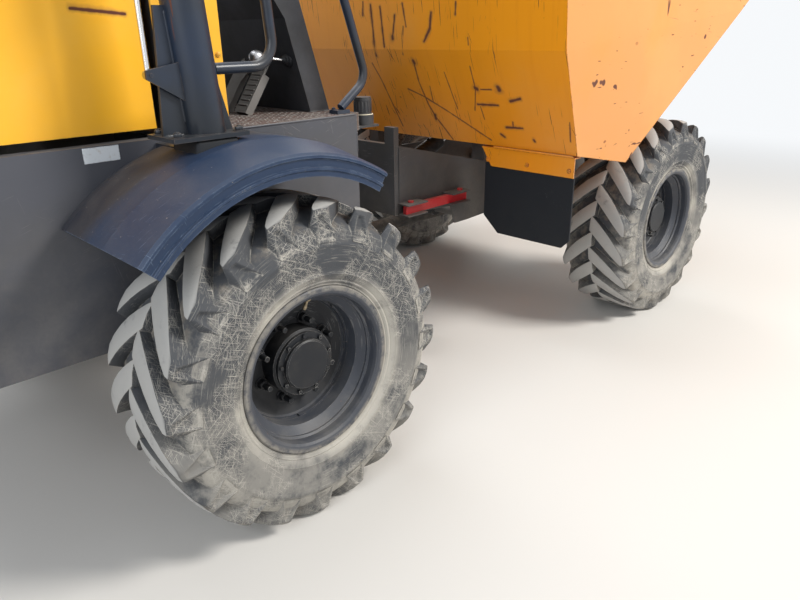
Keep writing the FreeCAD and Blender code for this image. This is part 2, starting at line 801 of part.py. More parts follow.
steer_start = ("steer_ram_base", "-steer_arm_radius", "steer_ram_height")
sub_part("steer_barrel", cut("steer_barrel_unit", fuse("steer_barrel_solid", [
    rod("steer_barrel_eye", "z", "eye_diameter", "steer_ram_height - eye_width / 2",
        "steer_ram_height + eye_width / 2", steer_start[0], steer_start[1]),
    rod("steer_barrel_tube", "x", "steer_barrel_diameter", "steer_ram_base + 27",
        "steer_ram_base + steer_ram_length * 0.6", 0, steer_start[1], steer_start[2]),
]), fuse("steer_barrel_holes", [
    rod("steer_base_hole", "z", "eye_diameter / 2 - 2 + 2 * running_gap",
        "steer_ram_height - eye_width", "steer_ram_height + eye_width", steer_start[0], steer_start[1]),
    rod("steer_rod_hole", "x", "steer_rod_diameter + 2 * running_gap", "steer_ram_base + 50",
        "steer_ram_base + steer_ram_length", 0, steer_start[1], steer_start[2]),
])))
sub_part("steer_rod", fuse("steer_rod_unit", [
    rod("steer_rod_bar", "x", "steer_rod_diameter", "pivot - steer_ram_length + 160", "pivot - 20", 0,
        steer_start[1], steer_start[2]),
    rod("steer_rod_eye", "z", "eye_diameter", "steer_ram_height - eye_width / 2",
        "steer_ram_height + eye_width / 2", "pivot", steer_start[1]),
]))


lock_low = "front_tail_bottom + ledge_wall + seat_gap"
upper_ledge = f"({lock_low} + lock_bar_height + seat_gap)"
lock_line = "-front_half - 20 - lock_bar_wall / 2"
lock_pins = ("75", "425")


def make_front_frame():
    pieces = []
    for label, side in sides.items():
        low, high = mirror_y(side, "front_half - front_wall", "front_half")
        pieces.append(plate(f"front_side_{label}", "XZ_Plane", [
            ("front_tail_end", "front_tail_bottom"),
            ("front_tail_end + 370", "front_tail_bottom - 22"),
            ("ram_base - 75", "front_tail_bottom - 24"),
            ("ram_base - 45", "ram_base_height - 45"),
            ("ram_base + 45", "ram_base_height - 45"),
            ("front_axle - 420", "front_belly"),
            ("front_nose_end - 40", "front_belly"),
            ("front_nose_end", "front_belly + 60"),
            ("front_nose_end", "tip_height"),
            ("tip_axis + tip_boss_radius", "tip_height"),
            ("tip_axis - tip_boss_radius", "tip_height"),
            ("tip_axis - tip_boss_radius - 60", "front_deck"),
            ("front_axle - 675", "front_deck"),
            ("front_tail_end", "front_tail_top"),
        ], low, high))
        pieces.append(rod(f"tip_boss_{label}", "y", "2 * tip_boss_radius", low, high, "tip_axis", 0,
                          "tip_height"))
        pin_low, pin_high = mirror_y(side, "front_half - front_wall - hinge_plate_wall - 14", "front_half + 14")
        pieces.append(rod(f"tip_pin_{label}", "y", "tip_pin_diameter", pin_low, pin_high, "tip_axis", 0,
                          "tip_height"))
        ledge = mirror_y(side, "front_half", "front_half + 70")
        for number, ahead in enumerate((20, 330)):
            for level, low_edge in (("lower", "front_tail_bottom"), ("upper", upper_ledge)):
                pieces.append(block(f"ledge_{label}_{number}_{level}", (f"front_tail_end + {ahead}",
                                                                        f"front_tail_end + {ahead} + 130"),
                                    ledge, (low_edge, f"{low_edge} + ledge_wall")))
        pieces.append(block(f"tail_tab_{label}", ("front_tail_end", "front_tail_end + plate_wall"),
                            mirror_y(side, "front_half - tab_width", "front_half"),
                            ("front_tail_top - 60", "front_tail_top + tab_rise")))
        rest = mirror_y(side, "front_half - 90", "front_half - front_wall")
        pieces.append(plate(f"skip_rest_{label}", "XZ_Plane", [
            ("skip_heel + 150", "front_deck - 30"),
            ("skip_heel + 250", "front_deck - 30"),
            ("skip_heel + 250", "skip_heel_height - rest_gap - 250 * (skip_heel_height - skip_toe_height)"
                                " / (skip_toe - skip_heel)"),
            ("skip_heel + 150", "skip_heel_height - rest_gap - 150 * (skip_heel_height - skip_toe_height)"
                                " / (skip_toe - skip_heel)"),
        ], *rest))
    inside = ("front_wall - front_half", "front_half - front_wall")
    pieces.append(block("front_tail_plate", ("front_tail_end", "front_tail_end + plate_wall"),
                        ("-front_half", "front_half"), ("front_tail_bottom", "front_tail_top")))
    pieces.append(block("front_mid_plate", ("pivot + swing_pin_end - 45", "pivot + swing_pin_end - 15"),
                        inside, ("front_tail_bottom", "front_tail_top - 60")))
    pieces.append(rod("swing_sleeve", "x", "swing_pin_diameter + 50", "front_tail_end",
                      "pivot + swing_pin_end - 15", 0, 0, "swing_height"))
    pieces.append(rod("ram_base_shaft", "y", "ram_pin_diameter", inside[0], inside[1], "ram_base", 0,
                      "ram_base_height"))
    pieces.append(rod("front_cross_tube", "y", "90", inside[0], inside[1], "front_axle + 150", 0,
                      "front_belly + 60"))
    pieces.append(block("front_nose_plate", ("front_nose_end - 12", "front_nose_end"), inside,
                        ("front_belly + 60", "tip_height - 60")))
    pieces.append(block("front_belly_plate", ("front_axle + 180", "front_nose_end - 40"), inside,
                        ("front_belly", "front_belly + 12")))
    holes = [rod("swing_bore", "x", "swing_pin_diameter + 2 * running_gap", "front_tail_end - 10",
                 "pivot + swing_pin_end + 10", 0, 0, "swing_height")]
    for label, side in sides.items():
        holes.append(rod(f"tie_hole_{label}", "y", "tie_hole_diameter",
                         *mirror_y(side, "front_half - front_wall - 5", "front_half + 5"),
                         "front_nose_end - tie_hole_inset", 0, "tip_height - 110"))
    for number, ahead in enumerate(lock_pins):
        holes.append(rod(f"lock_hole_{number}", "z", "lock_pin_diameter + 2 * running_gap",
                         "front_tail_bottom - 20", f"{upper_ledge} + 20", f"front_tail_end + {ahead}", lock_line))
    return cut("front_frame_unit", fuse("front_frame_solid", pieces), fuse("front_frame_holes", holes))


sub_part("front_frame", make_front_frame())

lock_pieces = [block("lock_bar_body", ("front_tail_end + 35", "front_tail_end + 35 + lock_bar_length"),
                     ("-front_half - 20 - lock_bar_wall", "-front_half - 20"),
                     (lock_low, f"{lock_low} + lock_bar_height"))]
for number, ahead in enumerate(lock_pins):
    lock_pieces.append(rod(f"lock_pin_{number}", "z", "lock_pin_diameter", "front_tail_bottom - 12",
                           f"{upper_ledge} + ledge_wall + 8", f"front_tail_end + {ahead}", lock_line))
    lock_pieces.append(rod(f"lock_pin_head_{number}", "z", "lock_pin_diameter + 12",
                           f"{upper_ledge} + ledge_wall + seat_gap", f"{upper_ledge} + ledge_wall + 8",
                           f"front_tail_end + {ahead}", lock_line))
sub_part("lock_bar", fuse("lock_bar_unit", lock_pieces))


def floor_height(x):
    return f"(skip_toe_height + ({x} - skip_toe) * (skip_lip_height - skip_toe_height) / (skip_lip - skip_toe))"


def make_skip():
    prism = plate("skip_prism", "XZ_Plane", [
        ("skip_heel", "skip_heel_height"),
        ("skip_toe", "skip_toe_height"),
        ("skip_lip", "skip_lip_height"),
        ("skip_back", "skip_rear_top"),
        ("skip_back + skip_bend_inset", "skip_bend_height"),
    ], "-skip_half", "skip_half")
    wedges = []
    for label, side in sides.items():
        # below the crease, which rises forward from the rear bend, the side leans in
        wedge = plate(f"skip_lean_{label}", "YZ_Plane", [
            ("0", "0"),
            (f"-{side} * skip_lean * 2", "-skip_lean_depth * 2"),
            (f"{side} * 50", "-skip_lean_depth * 2"),
            (f"{side} * 50", "0"),
        ], "-skip_rear / 2", "2 * skip_rear")
        wedge.Placement = Placement(Vector(), Rotation(Vector(0, 1, 0), -1))
        bind(wedge, "Placement.Rotation.Angle", "-skip_crease_rise")
        wedges.append(put(wedge, "skip_back + skip_bend_inset", f"{side} * skip_half", "skip_bend_height"))
    solid = cut("skip_solid", prism, fuse("skip_wedges", wedges))
    doc.recompute()
    top = [f"Face{number}" for number, face in enumerate(solid.Shape.Faces, start=1)
           if face.normalAt(0, 0).z > 0.8]
    shell = doc.addObject("Part::Thickness", "skip_hollow")
    shell.Faces = (solid, top)
    bind(shell, "Value", "-skip_wall")
    shell.Join = "Intersection"
    shell.Intersection = True
    slope = "(skip_rear_top - skip_lip_height) / (skip_lip - skip_back)"
    lean = "skip_bend_inset / (skip_rear_top - skip_bend_height)"
    pieces = [shell, plate("skip_rear_rim", "XZ_Plane", [
        ("skip_back + 1", "skip_rear_top"),
        (f"skip_back + 1 + skip_rim_height * {lean}", "skip_rear_top - skip_rim_height"),
        (f"skip_back - skip_rim_wall + skip_rim_height * {lean}", "skip_rear_top - skip_rim_height"),
        ("skip_back - skip_rim_wall", "skip_rear_top"),
    ], "-skip_half - skip_rim_wall", "skip_half + skip_rim_wall")]
    for label, side in sides.items():
        pieces.append(plate(f"skip_side_rim_{label}", "XZ_Plane", [
            ("skip_back - skip_rim_wall / 2", "skip_rear_top"),
            ("skip_back - skip_rim_wall / 2", "skip_rear_top - skip_rim_height"),
            ("skip_lip - 78", f"skip_lip_height - skip_rim_height + 78 * {slope}"),
            ("skip_lip", "skip_lip_height"),
        ], *mirror_y(side, "skip_half - 1", "skip_half + skip_rim_wall")))
    pieces.append(plate("skip_lip_bar", "XZ_Plane", [
        ("skip_lip", "skip_lip_height"),
        ("skip_lip - 80", f"{floor_height('(skip_lip - 80)')} + 1"),
        ("skip_lip - 74", f"{floor_height('(skip_lip - 80)')} - skip_rim_wall"),
        ("skip_lip", "skip_lip_height - 16"),
    ], "-skip_half", "skip_half"))
    return fuse("skip_shell_unit", pieces)


sub_part("skip_shell", make_skip())


def make_skip_mounts():
    pieces = []
    holes = []
    for label, side in sides.items():
        low, high = mirror_y(side, "front_half - front_wall - moving_gap - hinge_plate_wall",
                             "front_half - front_wall - moving_gap")
        pieces.append(plate(f"hinge_plate_{label}", "XZ_Plane", [
            ("tip_axis - 45", "tip_height - 30"),
            ("tip_axis + 45", "tip_height - 30"),
            ("tip_axis + 130", f"{floor_height('(tip_axis + 130)')} - seat_gap"),
            ("tip_axis - 320", f"{floor_height('(tip_axis - 320)')} - seat_gap"),
        ], low, high))
        pieces.append(rod(f"hinge_boss_{label}", "y", "110", low, high, "tip_axis", 0, "tip_height"))
        holes.append(rod(f"hinge_hole_{label}", "y", "tip_pin_diameter + 2 * running_gap", f"{low} - 5",
                         f"{high} + 5", "tip_axis", 0, "tip_height"))
        for ear, shift in (("inner", "-1"), ("outer", "1")):
            middle = f"({side} * ram_spacing / 2 + {shift} * (ram_eye_width / 2 + fork_gap + fork_wall / 2))"
            pieces.append(plate(f"ram_ear_{label}_{ear}", "XZ_Plane", [
                ("ram_eye - 34", "ram_eye_height - 34"),
                ("ram_eye + 34", "ram_eye_height - 34"),
                ("ram_eye + 90", f"{floor_height('(ram_eye + 90)')} - seat_gap"),
                ("ram_eye - 90", f"{floor_height('(ram_eye - 90)')} - seat_gap"),
            ], f"{middle} - fork_wall / 2", f"{middle} + fork_wall / 2"))
    return cut("skip_mounts_unit", fuse("skip_mounts_solid", pieces), fuse("hinge_holes", holes))


sub_part("skip_mounts", make_skip_mounts())

flap_seat = "(skip_heel_height - 40 * (skip_heel_height - skip_toe_height) / (skip_toe - skip_heel) - seat_gap)"
flap_pieces = []
bracket_pieces = []
for label, side in sides.items():
    span = mirror_y(side, "flap_half_inner", "flap_half_outer")
    bracket_pieces.append(plate(f"flap_bracket_{label}", "YZ_Plane", [
        (f"{side} * flap_half_inner", flap_seat),
        (f"{side} * flap_half_outer", flap_seat),
        (f"{side} * flap_half_outer", "skip_heel_height - 98"),
        (f"{side} * (flap_half_inner + 60)", "skip_heel_height - 98"),
    ], "skip_heel - flap_bracket_wall", "skip_heel"))
    bracket_pieces.append(block(f"flap_top_{label}", ("skip_heel - flap_bracket_wall", "skip_heel + 40"), span,
                                (f"{flap_seat} - flap_bracket_wall", flap_seat)))
    flap_pieces.append(plate(f"mudflap_{label}", "YZ_Plane", [
        (f"{side} * (flap_half_inner + 20)", "flap_top"),
        (f"{side} * flap_half_outer", "flap_top"),
        (f"{side} * flap_half_outer", "flap_bottom + 40"),
        (f"{side} * (flap_half_outer - 40)", "flap_bottom"),
        (f"{side} * (flap_half_inner + 110)", "flap_bottom"),
        (f"{side} * (flap_half_inner + 20)", "flap_bottom + 80"),
    ], "skip_heel + seat_gap", "skip_heel + seat_gap + flap_wall"))
sub_part("flap_brackets", fuse("flap_brackets_unit", bracket_pieces))
sub_part("mudflaps", fuse("mudflaps_unit", flap_pieces))


def make_tip_rams():
    run = (measure("ram_eye - ram_base"), measure("ram_eye_height - ram_base_height"))
    length = math.hypot(*run)
    along = (run[0] / length, run[1] / length)
    barrels = []
    rods = []
    holes = []
    for label, side in sides.items():
        middle = side * measure("ram_spacing / 2")

        def at(distance):
            x = measure("ram_base") + along[0] * distance
            z = measure("ram_base_height") + along[1] * distance
            return (x, middle, z)

        wide = measure("ram_eye_width / 2")
        barrel_length = measure("ram_barrel_length")
        barrels.append(rod(f"ram_base_eye_{label}", "y", "ram_eye_diameter", middle - wide, middle + wide,
                           "ram_base", 0, "ram_base_height"))
        barrels.append(between(f"ram_barrel_{label}", "ram_barrel_diameter", at(36), at(barrel_length)))
        rods.append(between(f"ram_rod_{label}", "ram_rod_diameter", at(90), at(length - 20)))
        rods.append(rod(f"ram_rod_eye_{label}", "y", "ram_eye_diameter", middle - wide, middle + wide,
                        "ram_eye", 0, "ram_eye_height"))
        holes.append(between(f"ram_rod_hole_{label}", "ram_rod_diameter + 2 * running_gap", at(60),
                             at(barrel_length + 20)))
        holes.append(rod(f"ram_base_hole_{label}", "y", "ram_pin_diameter + 2 * running_gap",
                         middle - wide - 5, middle + wide + 5, "ram_base", 0, "ram_base_height"))
    return (cut("tip_barrels_unit", fuse("tip_barrels_solid", barrels), fuse("tip_barrel_holes", holes)),
            fuse("tip_rods_unit", rods))


tip_barrels, tip_rods = make_tip_rams()
sub_part("tip_barrels", tip_barrels)
sub_part("tip_rods", tip_rods)

sub_part("operator_platform", fuse("operator_platform_unit", [
    block("platform_plate", ("rear_axle - deck_rear", "chassis_front + 10"), ("-rear_half", "rear_half"),
          ("rear_top", "rear_top + deck_wall")),
    block("platform_lip", ("chassis_front + seat_gap", "chassis_front + 10"), ("-rear_half", "rear_half"),
          ("rear_top - 60", "rear_top")),
]))

seat_rear = "rear_axle - deck_rear"
sub_part("seat_side_panels", fuse("seat_side_panels_unit", [
    block(f"seat_panel_{label}", (seat_rear, "rear_axle + seat_panel_front"),
          mirror_y(side, "body_half - panel_wall", "body_half"), ("deck_top", "seat_panel_top"))
    for label, side in sides.items()
]))
seat_inside = ("panel_wall + seat_gap - body_half", "body_half - panel_wall - seat_gap")
hinge_height = "bonnet_top - 5"
seat_base_pieces = [
    block("seat_deck", (seat_rear, "rear_axle + 30"), seat_inside,
          ("seat_deck_height - panel_wall", "seat_deck_height")),
    block("seat_front", ("rear_axle - 40", "rear_axle - 32"), seat_inside, ("deck_top", "seat_deck_height")),
    block("engine_bulkhead", (seat_rear, f"{seat_rear} + panel_wall"), seat_inside, ("deck_top", "bonnet_top")),
]
for label, side in sides.items():
    for number, middle in enumerate((180, 420)):
        seat_base_pieces.append(block(f"hinge_lug_{label}_{number}", ("bonnet_axis", seat_rear),
                                      mirror_y(side, f"{middle} - 6", f"{middle} + 6"),
                                      (f"{hinge_height} - 8", f"{hinge_height} + 5")))
    seat_base_pieces.append(rod(f"hinge_rod_{label}", "y", "hinge_pin_diameter",
                                *mirror_y(side, "174", "426"), "bonnet_axis", 0, hinge_height))
sub_part("seat_base", fuse("seat_base_unit", seat_base_pieces))

seat_middle = "rear_axle + 55"
sub_part("seat_cushion", block("seat_cushion_unit", (f"{seat_middle} - cushion_length / 2",
                                                     f"{seat_middle} + cushion_length / 2"),
                               ("-cushion_width / 2", "cushion_width / 2"),
                               ("seat_deck_height + seat_gap", "seat_deck_height + cushion_height")))
sub_part("seat_back", block("seat_back_unit", (f"{seat_rear} + 18", f"{seat_rear} + 18 + back_wall"),
                            ("-cushion_width / 2 + 15", "cushion_width / 2 - 15"),
                            ("seat_deck_height + cushion_height + seat_gap",
                             "seat_deck_height + cushion_height + back_height")))

sub_part("dash_console", hollowed("dash_console_unit", [
    ("chassis_front - 10", "deck_top + seat_gap"),
    ("chassis_front - 122", "deck_top + 390"),
    ("chassis_front - 190", "deck_top + 600"),
    ("chassis_front - 300", "deck_top + 495"),
    ("chassis_front - 190", "deck_top + 330"),
    ("chassis_front - 100", "deck_top + seat_gap"),
], "-console_width / 2", "console_width / 2", "console_wall", [(0, 0, -1)]))


def make_steering_wheel():
    # the column stands square on the console's sloping face
    top = Vector(measure("chassis_front - 190"), 0, measure("deck_top + 600"))
    bottom = Vector(measure("chassis_front - 300"), 0, measure("deck_top + 495"))
    axis = (bottom - top).cross(Vector(0, 1, 0)).normalize()
    if axis.z < 0:
        axis = axis * -1
    foot = (top + bottom) * 0.5 + axis * measure("seat_gap")
    middle = foot + axis * measure("column_length")
    reach = measure("wheel_radius")
    across = Vector(0, 1, 0)
    shape = Part.makeTorus(reach, measure("wheel_rim_radius"), middle, axis)
    for spoke in (across, across * -1, axis.cross(across) * -1):
        shape = shape.fuse(Part.makeCylinder(measure("spoke_radius"), reach, middle, spoke))
    shape = shape.fuse(Part.makeCylinder(40, 30, middle - axis * 15, axis))
    shape = shape.fuse(Part.makeCylinder(24, measure("column_length"), foot, axis))
    item = doc.addObject("Part::Feature", "steering_wheel_unit")
    item.Shape = shape
    return item


sub_part("steering_wheel", make_steering_wheel())


def make_pedal(label, middle, points, flange):
    # a plate with turned-back edges, made upright and then leaned forward
    pieces = [plate(f"pedal_{label}_plate", "YZ_Plane", points, "0", "pedal_wall")]
    for edge, side in sides.items():
        pieces.append(block(f"pedal_{label}_edge_{edge}", ("0", f"pedal_wall + {flange}"),
                            mirror_y(side, "pedal_width / 2 - 5", "pedal_width / 2"),
                            ("pedal_wall", "pedal_length * 0.72")))
    pieces.append(rod(f"pedal_{label}_pivot", "y", "24", "-pedal_width / 2", "pedal_width / 2",
                      "pedal_wall + 6", 0, "12"))
    if label == "right":
        for number in range(9):
            pieces.append(rod(f"pedal_rib_{number}", "y", "7", "-pedal_width / 2 + 8", "pedal_width / 2 - 8",
                              0, 0, f"30 + {number} * 21"))
    item = fuse(f"pedal_{label}", pieces)
    item.Placement = Placement(Vector(), Rotation(Vector(0, 1, 0), 1))
    bind(item, "Placement.Rotation.Angle", "pedal_lean")
    return put(item, "chassis_front - 325", middle,
               "deck_top + seat_gap + 12 - 12 * cos(pedal_lean) + (pedal_wall + 6) * sin(pedal_lean)")


half = "pedal_width / 2"
sub_part("pedals", fuse("pedals_unit", [
    make_pedal("left", "-235", [
        (f"-({half})", "0"),
        (half, "0"),
        (half, "pedal_length - 30"),
        ("10", "pedal_length"),
        (f"-({half}) - 22", "pedal_length - 58"),
        (f"-({half})", "pedal_length - 100"),
    ], "14"),
    make_pedal("right", "-362", [
        (f"-({half})", "0"),
        (half, "0"),
        (half, "pedal_length - 22"),
        ("16", "pedal_length - 8"),
        ("-16", "pedal_length - 8"),
        (f"-({half})", "pedal_length - 22"),
    ], "22"),
]))


breather = ("chassis_front + 85", "-rear_half + 60")
sub_part("breather", fuse("breather_unit", [
    rod("breather_body", "z", "breather_diameter", "rear_top - 8", "rear_top + 54", *breather),
    rod("breather_ring", "z", "breather_diameter + 8", "rear_top - 14", "rear_top - 6", *breather),
    rod("breather_cap", "z", "breather_cap_diameter", "rear_top - 52", "rear_top - 12", *breather),
    rod("breather_rib", "z", "breather_diameter + 5", "rear_top + 40", "rear_top + 48", *breather),
    block("breather_bracket", ("chassis_front + 10 + seat_gap", "chassis_front + 130"),
          ("-rear_half + 18", "-rear_half + 102"), ("rear_top - 58", "rear_top - 50")),
]))


def make_rops_base(label, side):
    def span(low, high):
        return mirror_y(side, low, high)

    lean = "tan(post_lean)"
    post = doc.addObject("Part::Cylinder", f"post_{label}")
    bind(post, "Radius", "post_diameter / 2")
    bind(post, "Height", "(post_top - rear_top + 12) / cos(post_lean)")
    post.Placement = Placement(Vector(), Rotation(Vector(0, 1, 0), -1))
    bind(post, "Placement.Rotation.Angle", "-post_lean")
    put(post, f"post_axis + (post_foot - rear_top + 12) * {lean}", f"{side} * post_offset", "rear_top - 12")
    pieces = [
        post,
        block(f"outrigger_{label}", ("post_axis - 60", "post_axis + 60"),
              span("rear_half", "post_offset + 50"), ("rear_top - 92", "rear_top - 12")),
        block(f"post_foot_{label}", ("post_axis - 135", "post_axis + 95"),
              span("post_offset - 80", "post_offset + 75"), ("post_foot - 8", "post_foot + 4")),
        block(f"post_cap_{label}", ("post_top_axis - hoop_hinge_behind + 26", "post_top_axis + 75"),
              span("post_offset - 70", "post_offset + 70"), ("post_top", "hoop_hinge_height - 2")),
        plate(f"rear_gusset_{label}", "XZ_Plane", [
            ("post_axis", "post_foot"),
            ("post_axis - 130", "post_foot"),
            ("post_axis - 85 - 330 * tan(post_lean)", "post_foot + 330"),
            ("post_axis - 330 * tan(post_lean)", "post_foot + 330"),
        ], *span("post_offset - 5", "post_offset + 5")),
        plate(f"front_gusset_{label}", "XZ_Plane", [
            ("post_axis", "post_foot"),
            ("post_axis + 85", "post_foot"),
            ("post_axis + 50 - 200 * tan(post_lean)", "post_foot + 200"),
            ("post_axis - 200 * tan(post_lean)", "post_foot + 200"),
        ], *span("post_offset - 5", "post_offset + 5")),
        plate(f"strut_bracket_{label}", "XZ_Plane", [
            ("post_axis - 60", "strut_foot_height - 70"),
            ("strut_foot - 14", "strut_foot_height - 10"),
            ("strut_foot - 14", "strut_foot_height + 12"),
            ("post_axis - 60", "strut_foot_height + 30"),
        ], *span("post_offset + 12", "post_offset + 20")),
        rod(f"strut_pin_{label}", "y", "10", *span("post_offset - 11", "post_offset + 22"), "strut_foot", 0,
            "strut_foot_height"),
    ]
    for number, place in enumerate(("inner", "outer")):
        low, high = (("post_offset - 62", "post_offset - 50"), ("post_offset + 50", "post_offset + 62"))[number]
        pieces.append(rod(f"hinge_ear_{label}_{place}", "y", "36", *span(low, high), "hoop_axis", 0,
                          "hoop_hinge_height"))
        pieces.append(block(f"hinge_ear_arm_{label}_{place}", ("hoop_axis", "post_top_axis - 20"),
                            span(low, high), ("hoop_hinge_height - 18", "hoop_hinge_height - 4")))
        low, high = (("post_offset - 66", "post_offset - 22"), ("post_offset + 22", "post_offset + 66"))[number]
        pieces.append(rod(f"hoop_pin_{label}_{place}", "y", "20", *span(low, high), "hoop_axis", 0,
                          "hoop_hinge_height"))
    bore = doc.addObject("Part::Cylinder", f"post_bore_{label}")
    bind(bore, "Radius", "post_diameter / 2 - tube_wall")
    bind(bore, "Height", "(post_top - rear_top + 40) / cos(post_lean)")
    bore.Placement = Placement(Vector(), Rotation(Vector(0, 1, 0), -1))
    bind(bore, "Placement.Rotation.Angle", "-post_lean")
    put(bore, f"post_axis + (post_foot - rear_top) * {lean}", f"{side} * post_offset", "rear_top")
    return cut(f"rops_base_{label}_unit", fuse(f"rops_base_{label}_solid", pieces), bore)


sub_part("rops_bases", fuse("rops_bases_unit", [make_rops_base(label, side) for label, side in sides.items()]))


def make_hoop():
    lean = "tan(post_lean)"

    def line(start):
        top = "hoop_top - post_diameter / 2"
        foot = f"post_top_axis - ({start} - post_top) * {lean}"
        crown = f"post_top_axis - ({top} - post_top) * {lean}"
        return [(foot, "-post_offset", start), (crown, "-post_offset", top), (crown, "post_offset", top),
                (foot, "post_offset", start)]

    ear_near = "(strut_tube_diameter / 2 + fork_gap)"
    ear_far = f"({ear_near} + fork_gap + 5)"
    pieces = [bent_tube("hoop_tube", line("(hoop_hinge_height + 12)"), "post_diameter", "hoop_bend")]
    holes = [bent_tube("hoop_bore", line("(hoop_hinge_height - 6)"), "post_diameter - 2 * tube_wall",
                       "hoop_bend")]
    for label, side in sides.items():
        pieces.append(block(f"hoop_foot_{label}", ("post_top_axis - hoop_hinge_behind + 26",
                                                   "post_top_axis + 75"),
                            mirror_y(side, "post_offset - 70", "post_offset + 70"),
                            ("hoop_hinge_height + 2", "hoop_hinge_height + 2 + joint_plate")))
        for number, (low, high) in enumerate((("post_offset - 44", "post_offset - 25"),
                                              ("post_offset + 25", "post_offset + 44"))):
            pieces.append(rod(f"hoop_knuckle_{label}_{number}", "y", "36", *mirror_y(side, low, high),
                              "hoop_axis", 0, "hoop_hinge_height"))
            pieces.append(block(f"hoop_knuckle_arm_{label}_{number}", ("hoop_axis", "post_top_axis - 20"),
                                mirror_y(side, low, high),
                                ("hoop_hinge_height + 4", "hoop_hinge_height + 18")))
        holes.append(rod(f"hoop_hole_{label}", "y", "20 + 2 * running_gap",
                         *mirror_y(side, "post_offset - 50", "post_offset + 50"), "hoop_axis", 0,
                         "hoop_hinge_height"))
        for ear, (low, high) in (("inner", (f"post_offset - {ear_far}", f"post_offset - {ear_near}")),
                                 ("outer", (f"post_offset + {ear_near}", f"post_offset + {ear_far}"))):
            pieces.append(plate(f"strut_ear_{label}_{ear}", "XZ_Plane", [
                ("post_top_axis - 30", "strut_head - 45"),
                ("strut_foot - 18", "strut_head - 18"),
                ("strut_foot - 18", "strut_head + 18"),
                ("post_top_axis - 30", "strut_head + 45"),
            ], *mirror_y(side, low, high)))
    return cut("rops_hoop_unit", fuse("rops_hoop_solid", pieces), fuse("hoop_holes", holes))


sub_part("rops_hoop", make_hoop())

strut_rods = []
strut_tubes = []
strut_rod_holes = []
strut_pin_holes = []
for label, side in sides.items():
    middle = f"{side} * post_offset"
    wide = mirror_y(side, "post_offset - strut_eye_width / 2", "post_offset + strut_eye_width / 2")
    strut_rods.append(rod(f"strut_rod_{label}", "z", "strut_rod_diameter", "strut_foot_height + 8",
                          "strut_foot_height + 360", "strut_foot", middle))
    strut_rods.append(rod(f"strut_foot_eye_{label}", "y", "strut_eye_diameter - 6", *wide, "strut_foot", 0,
                          "strut_foot_height"))
    strut_pin_holes.append(rod(f"strut_pin_hole_{label}", "y", "10 + 2 * running_gap",
                               *mirror_y(side, "post_offset - 20", "post_offset + 20"), "strut_foot", 0,
                               "strut_foot_height"))
    strut_tubes.append(rod(f"strut_tube_{label}", "z", "strut_tube_diameter", "strut_foot_height + 250",
                           "strut_head - 12", "strut_foot", middle))
    strut_tubes.append(rod(f"strut_head_eye_{label}", "y", "strut_eye_diameter", *wide, "strut_foot", 0,
                           "strut_head"))
    strut_rod_holes.append(rod(f"strut_hole_{label}", "z", "strut_rod_diameter + 2 * running_gap",
                               "strut_foot_height + 200", "strut_head - 60", "strut_foot", middle))
sub_part("strut_rods", cut("strut_rods_unit", fuse("strut_rods_solid", strut_rods),
                           fuse("strut_pin_holes", strut_pin_holes)))
sub_part("strut_tubes", cut("strut_tubes_unit", fuse("strut_tubes_solid", strut_tubes),
                            fuse("strut_holes", strut_rod_holes)))

rail_pieces = []
post_face = "post_axis + post_diameter / 2 + 2 * seat_gap"
for label, side in sides.items():
    line = f"{side} * post_offset"
    rail_pieces.append(bent_tube(f"rear_rail_{label}", [
        (f"{post_face} - (rail_low - 20) * tan(post_lean)", line, "post_foot + rail_low"),
        ("post_axis + rail_reach", line, "post_foot + rail_low"),
        ("post_axis + rail_reach - 35", line, "post_foot + rail_high"),
        (f"{post_face} - (rail_high - 20) * tan(post_lean)", line, "post_foot + rail_high"),
    ], "rail_diameter", "rail_bend"))
front_line = "(rear_half - rail_diameter / 2 - 8)"
rail_side = [
    # along, up from the deck
    ("chassis_front - 56", "20"),
    ("chassis_front + 75", "116"),
    ("chassis_front - 105", "front_rail_height"),
]
rail_pieces.append(bent_tube("front_rail", [
    (along, f"-{front_line}", f"deck_top + {up}") for along, up in rail_side
] + [(along, front_line, f"deck_top + {up}") for along, up in reversed(rail_side)],
    "rail_diameter", "rail_bend"))
for label, side in sides.items():
    rail_pieces.append(block(f"rail_foot_{label}", ("chassis_front - 90", "chassis_front - 30"),
                             mirror_y(side, "rear_half - 50", "rear_half - 2"),
                             ("deck_top + seat_gap", "deck_top + 14")))
sub_part("handrails", fuse("handrails_unit", rail_pieces))


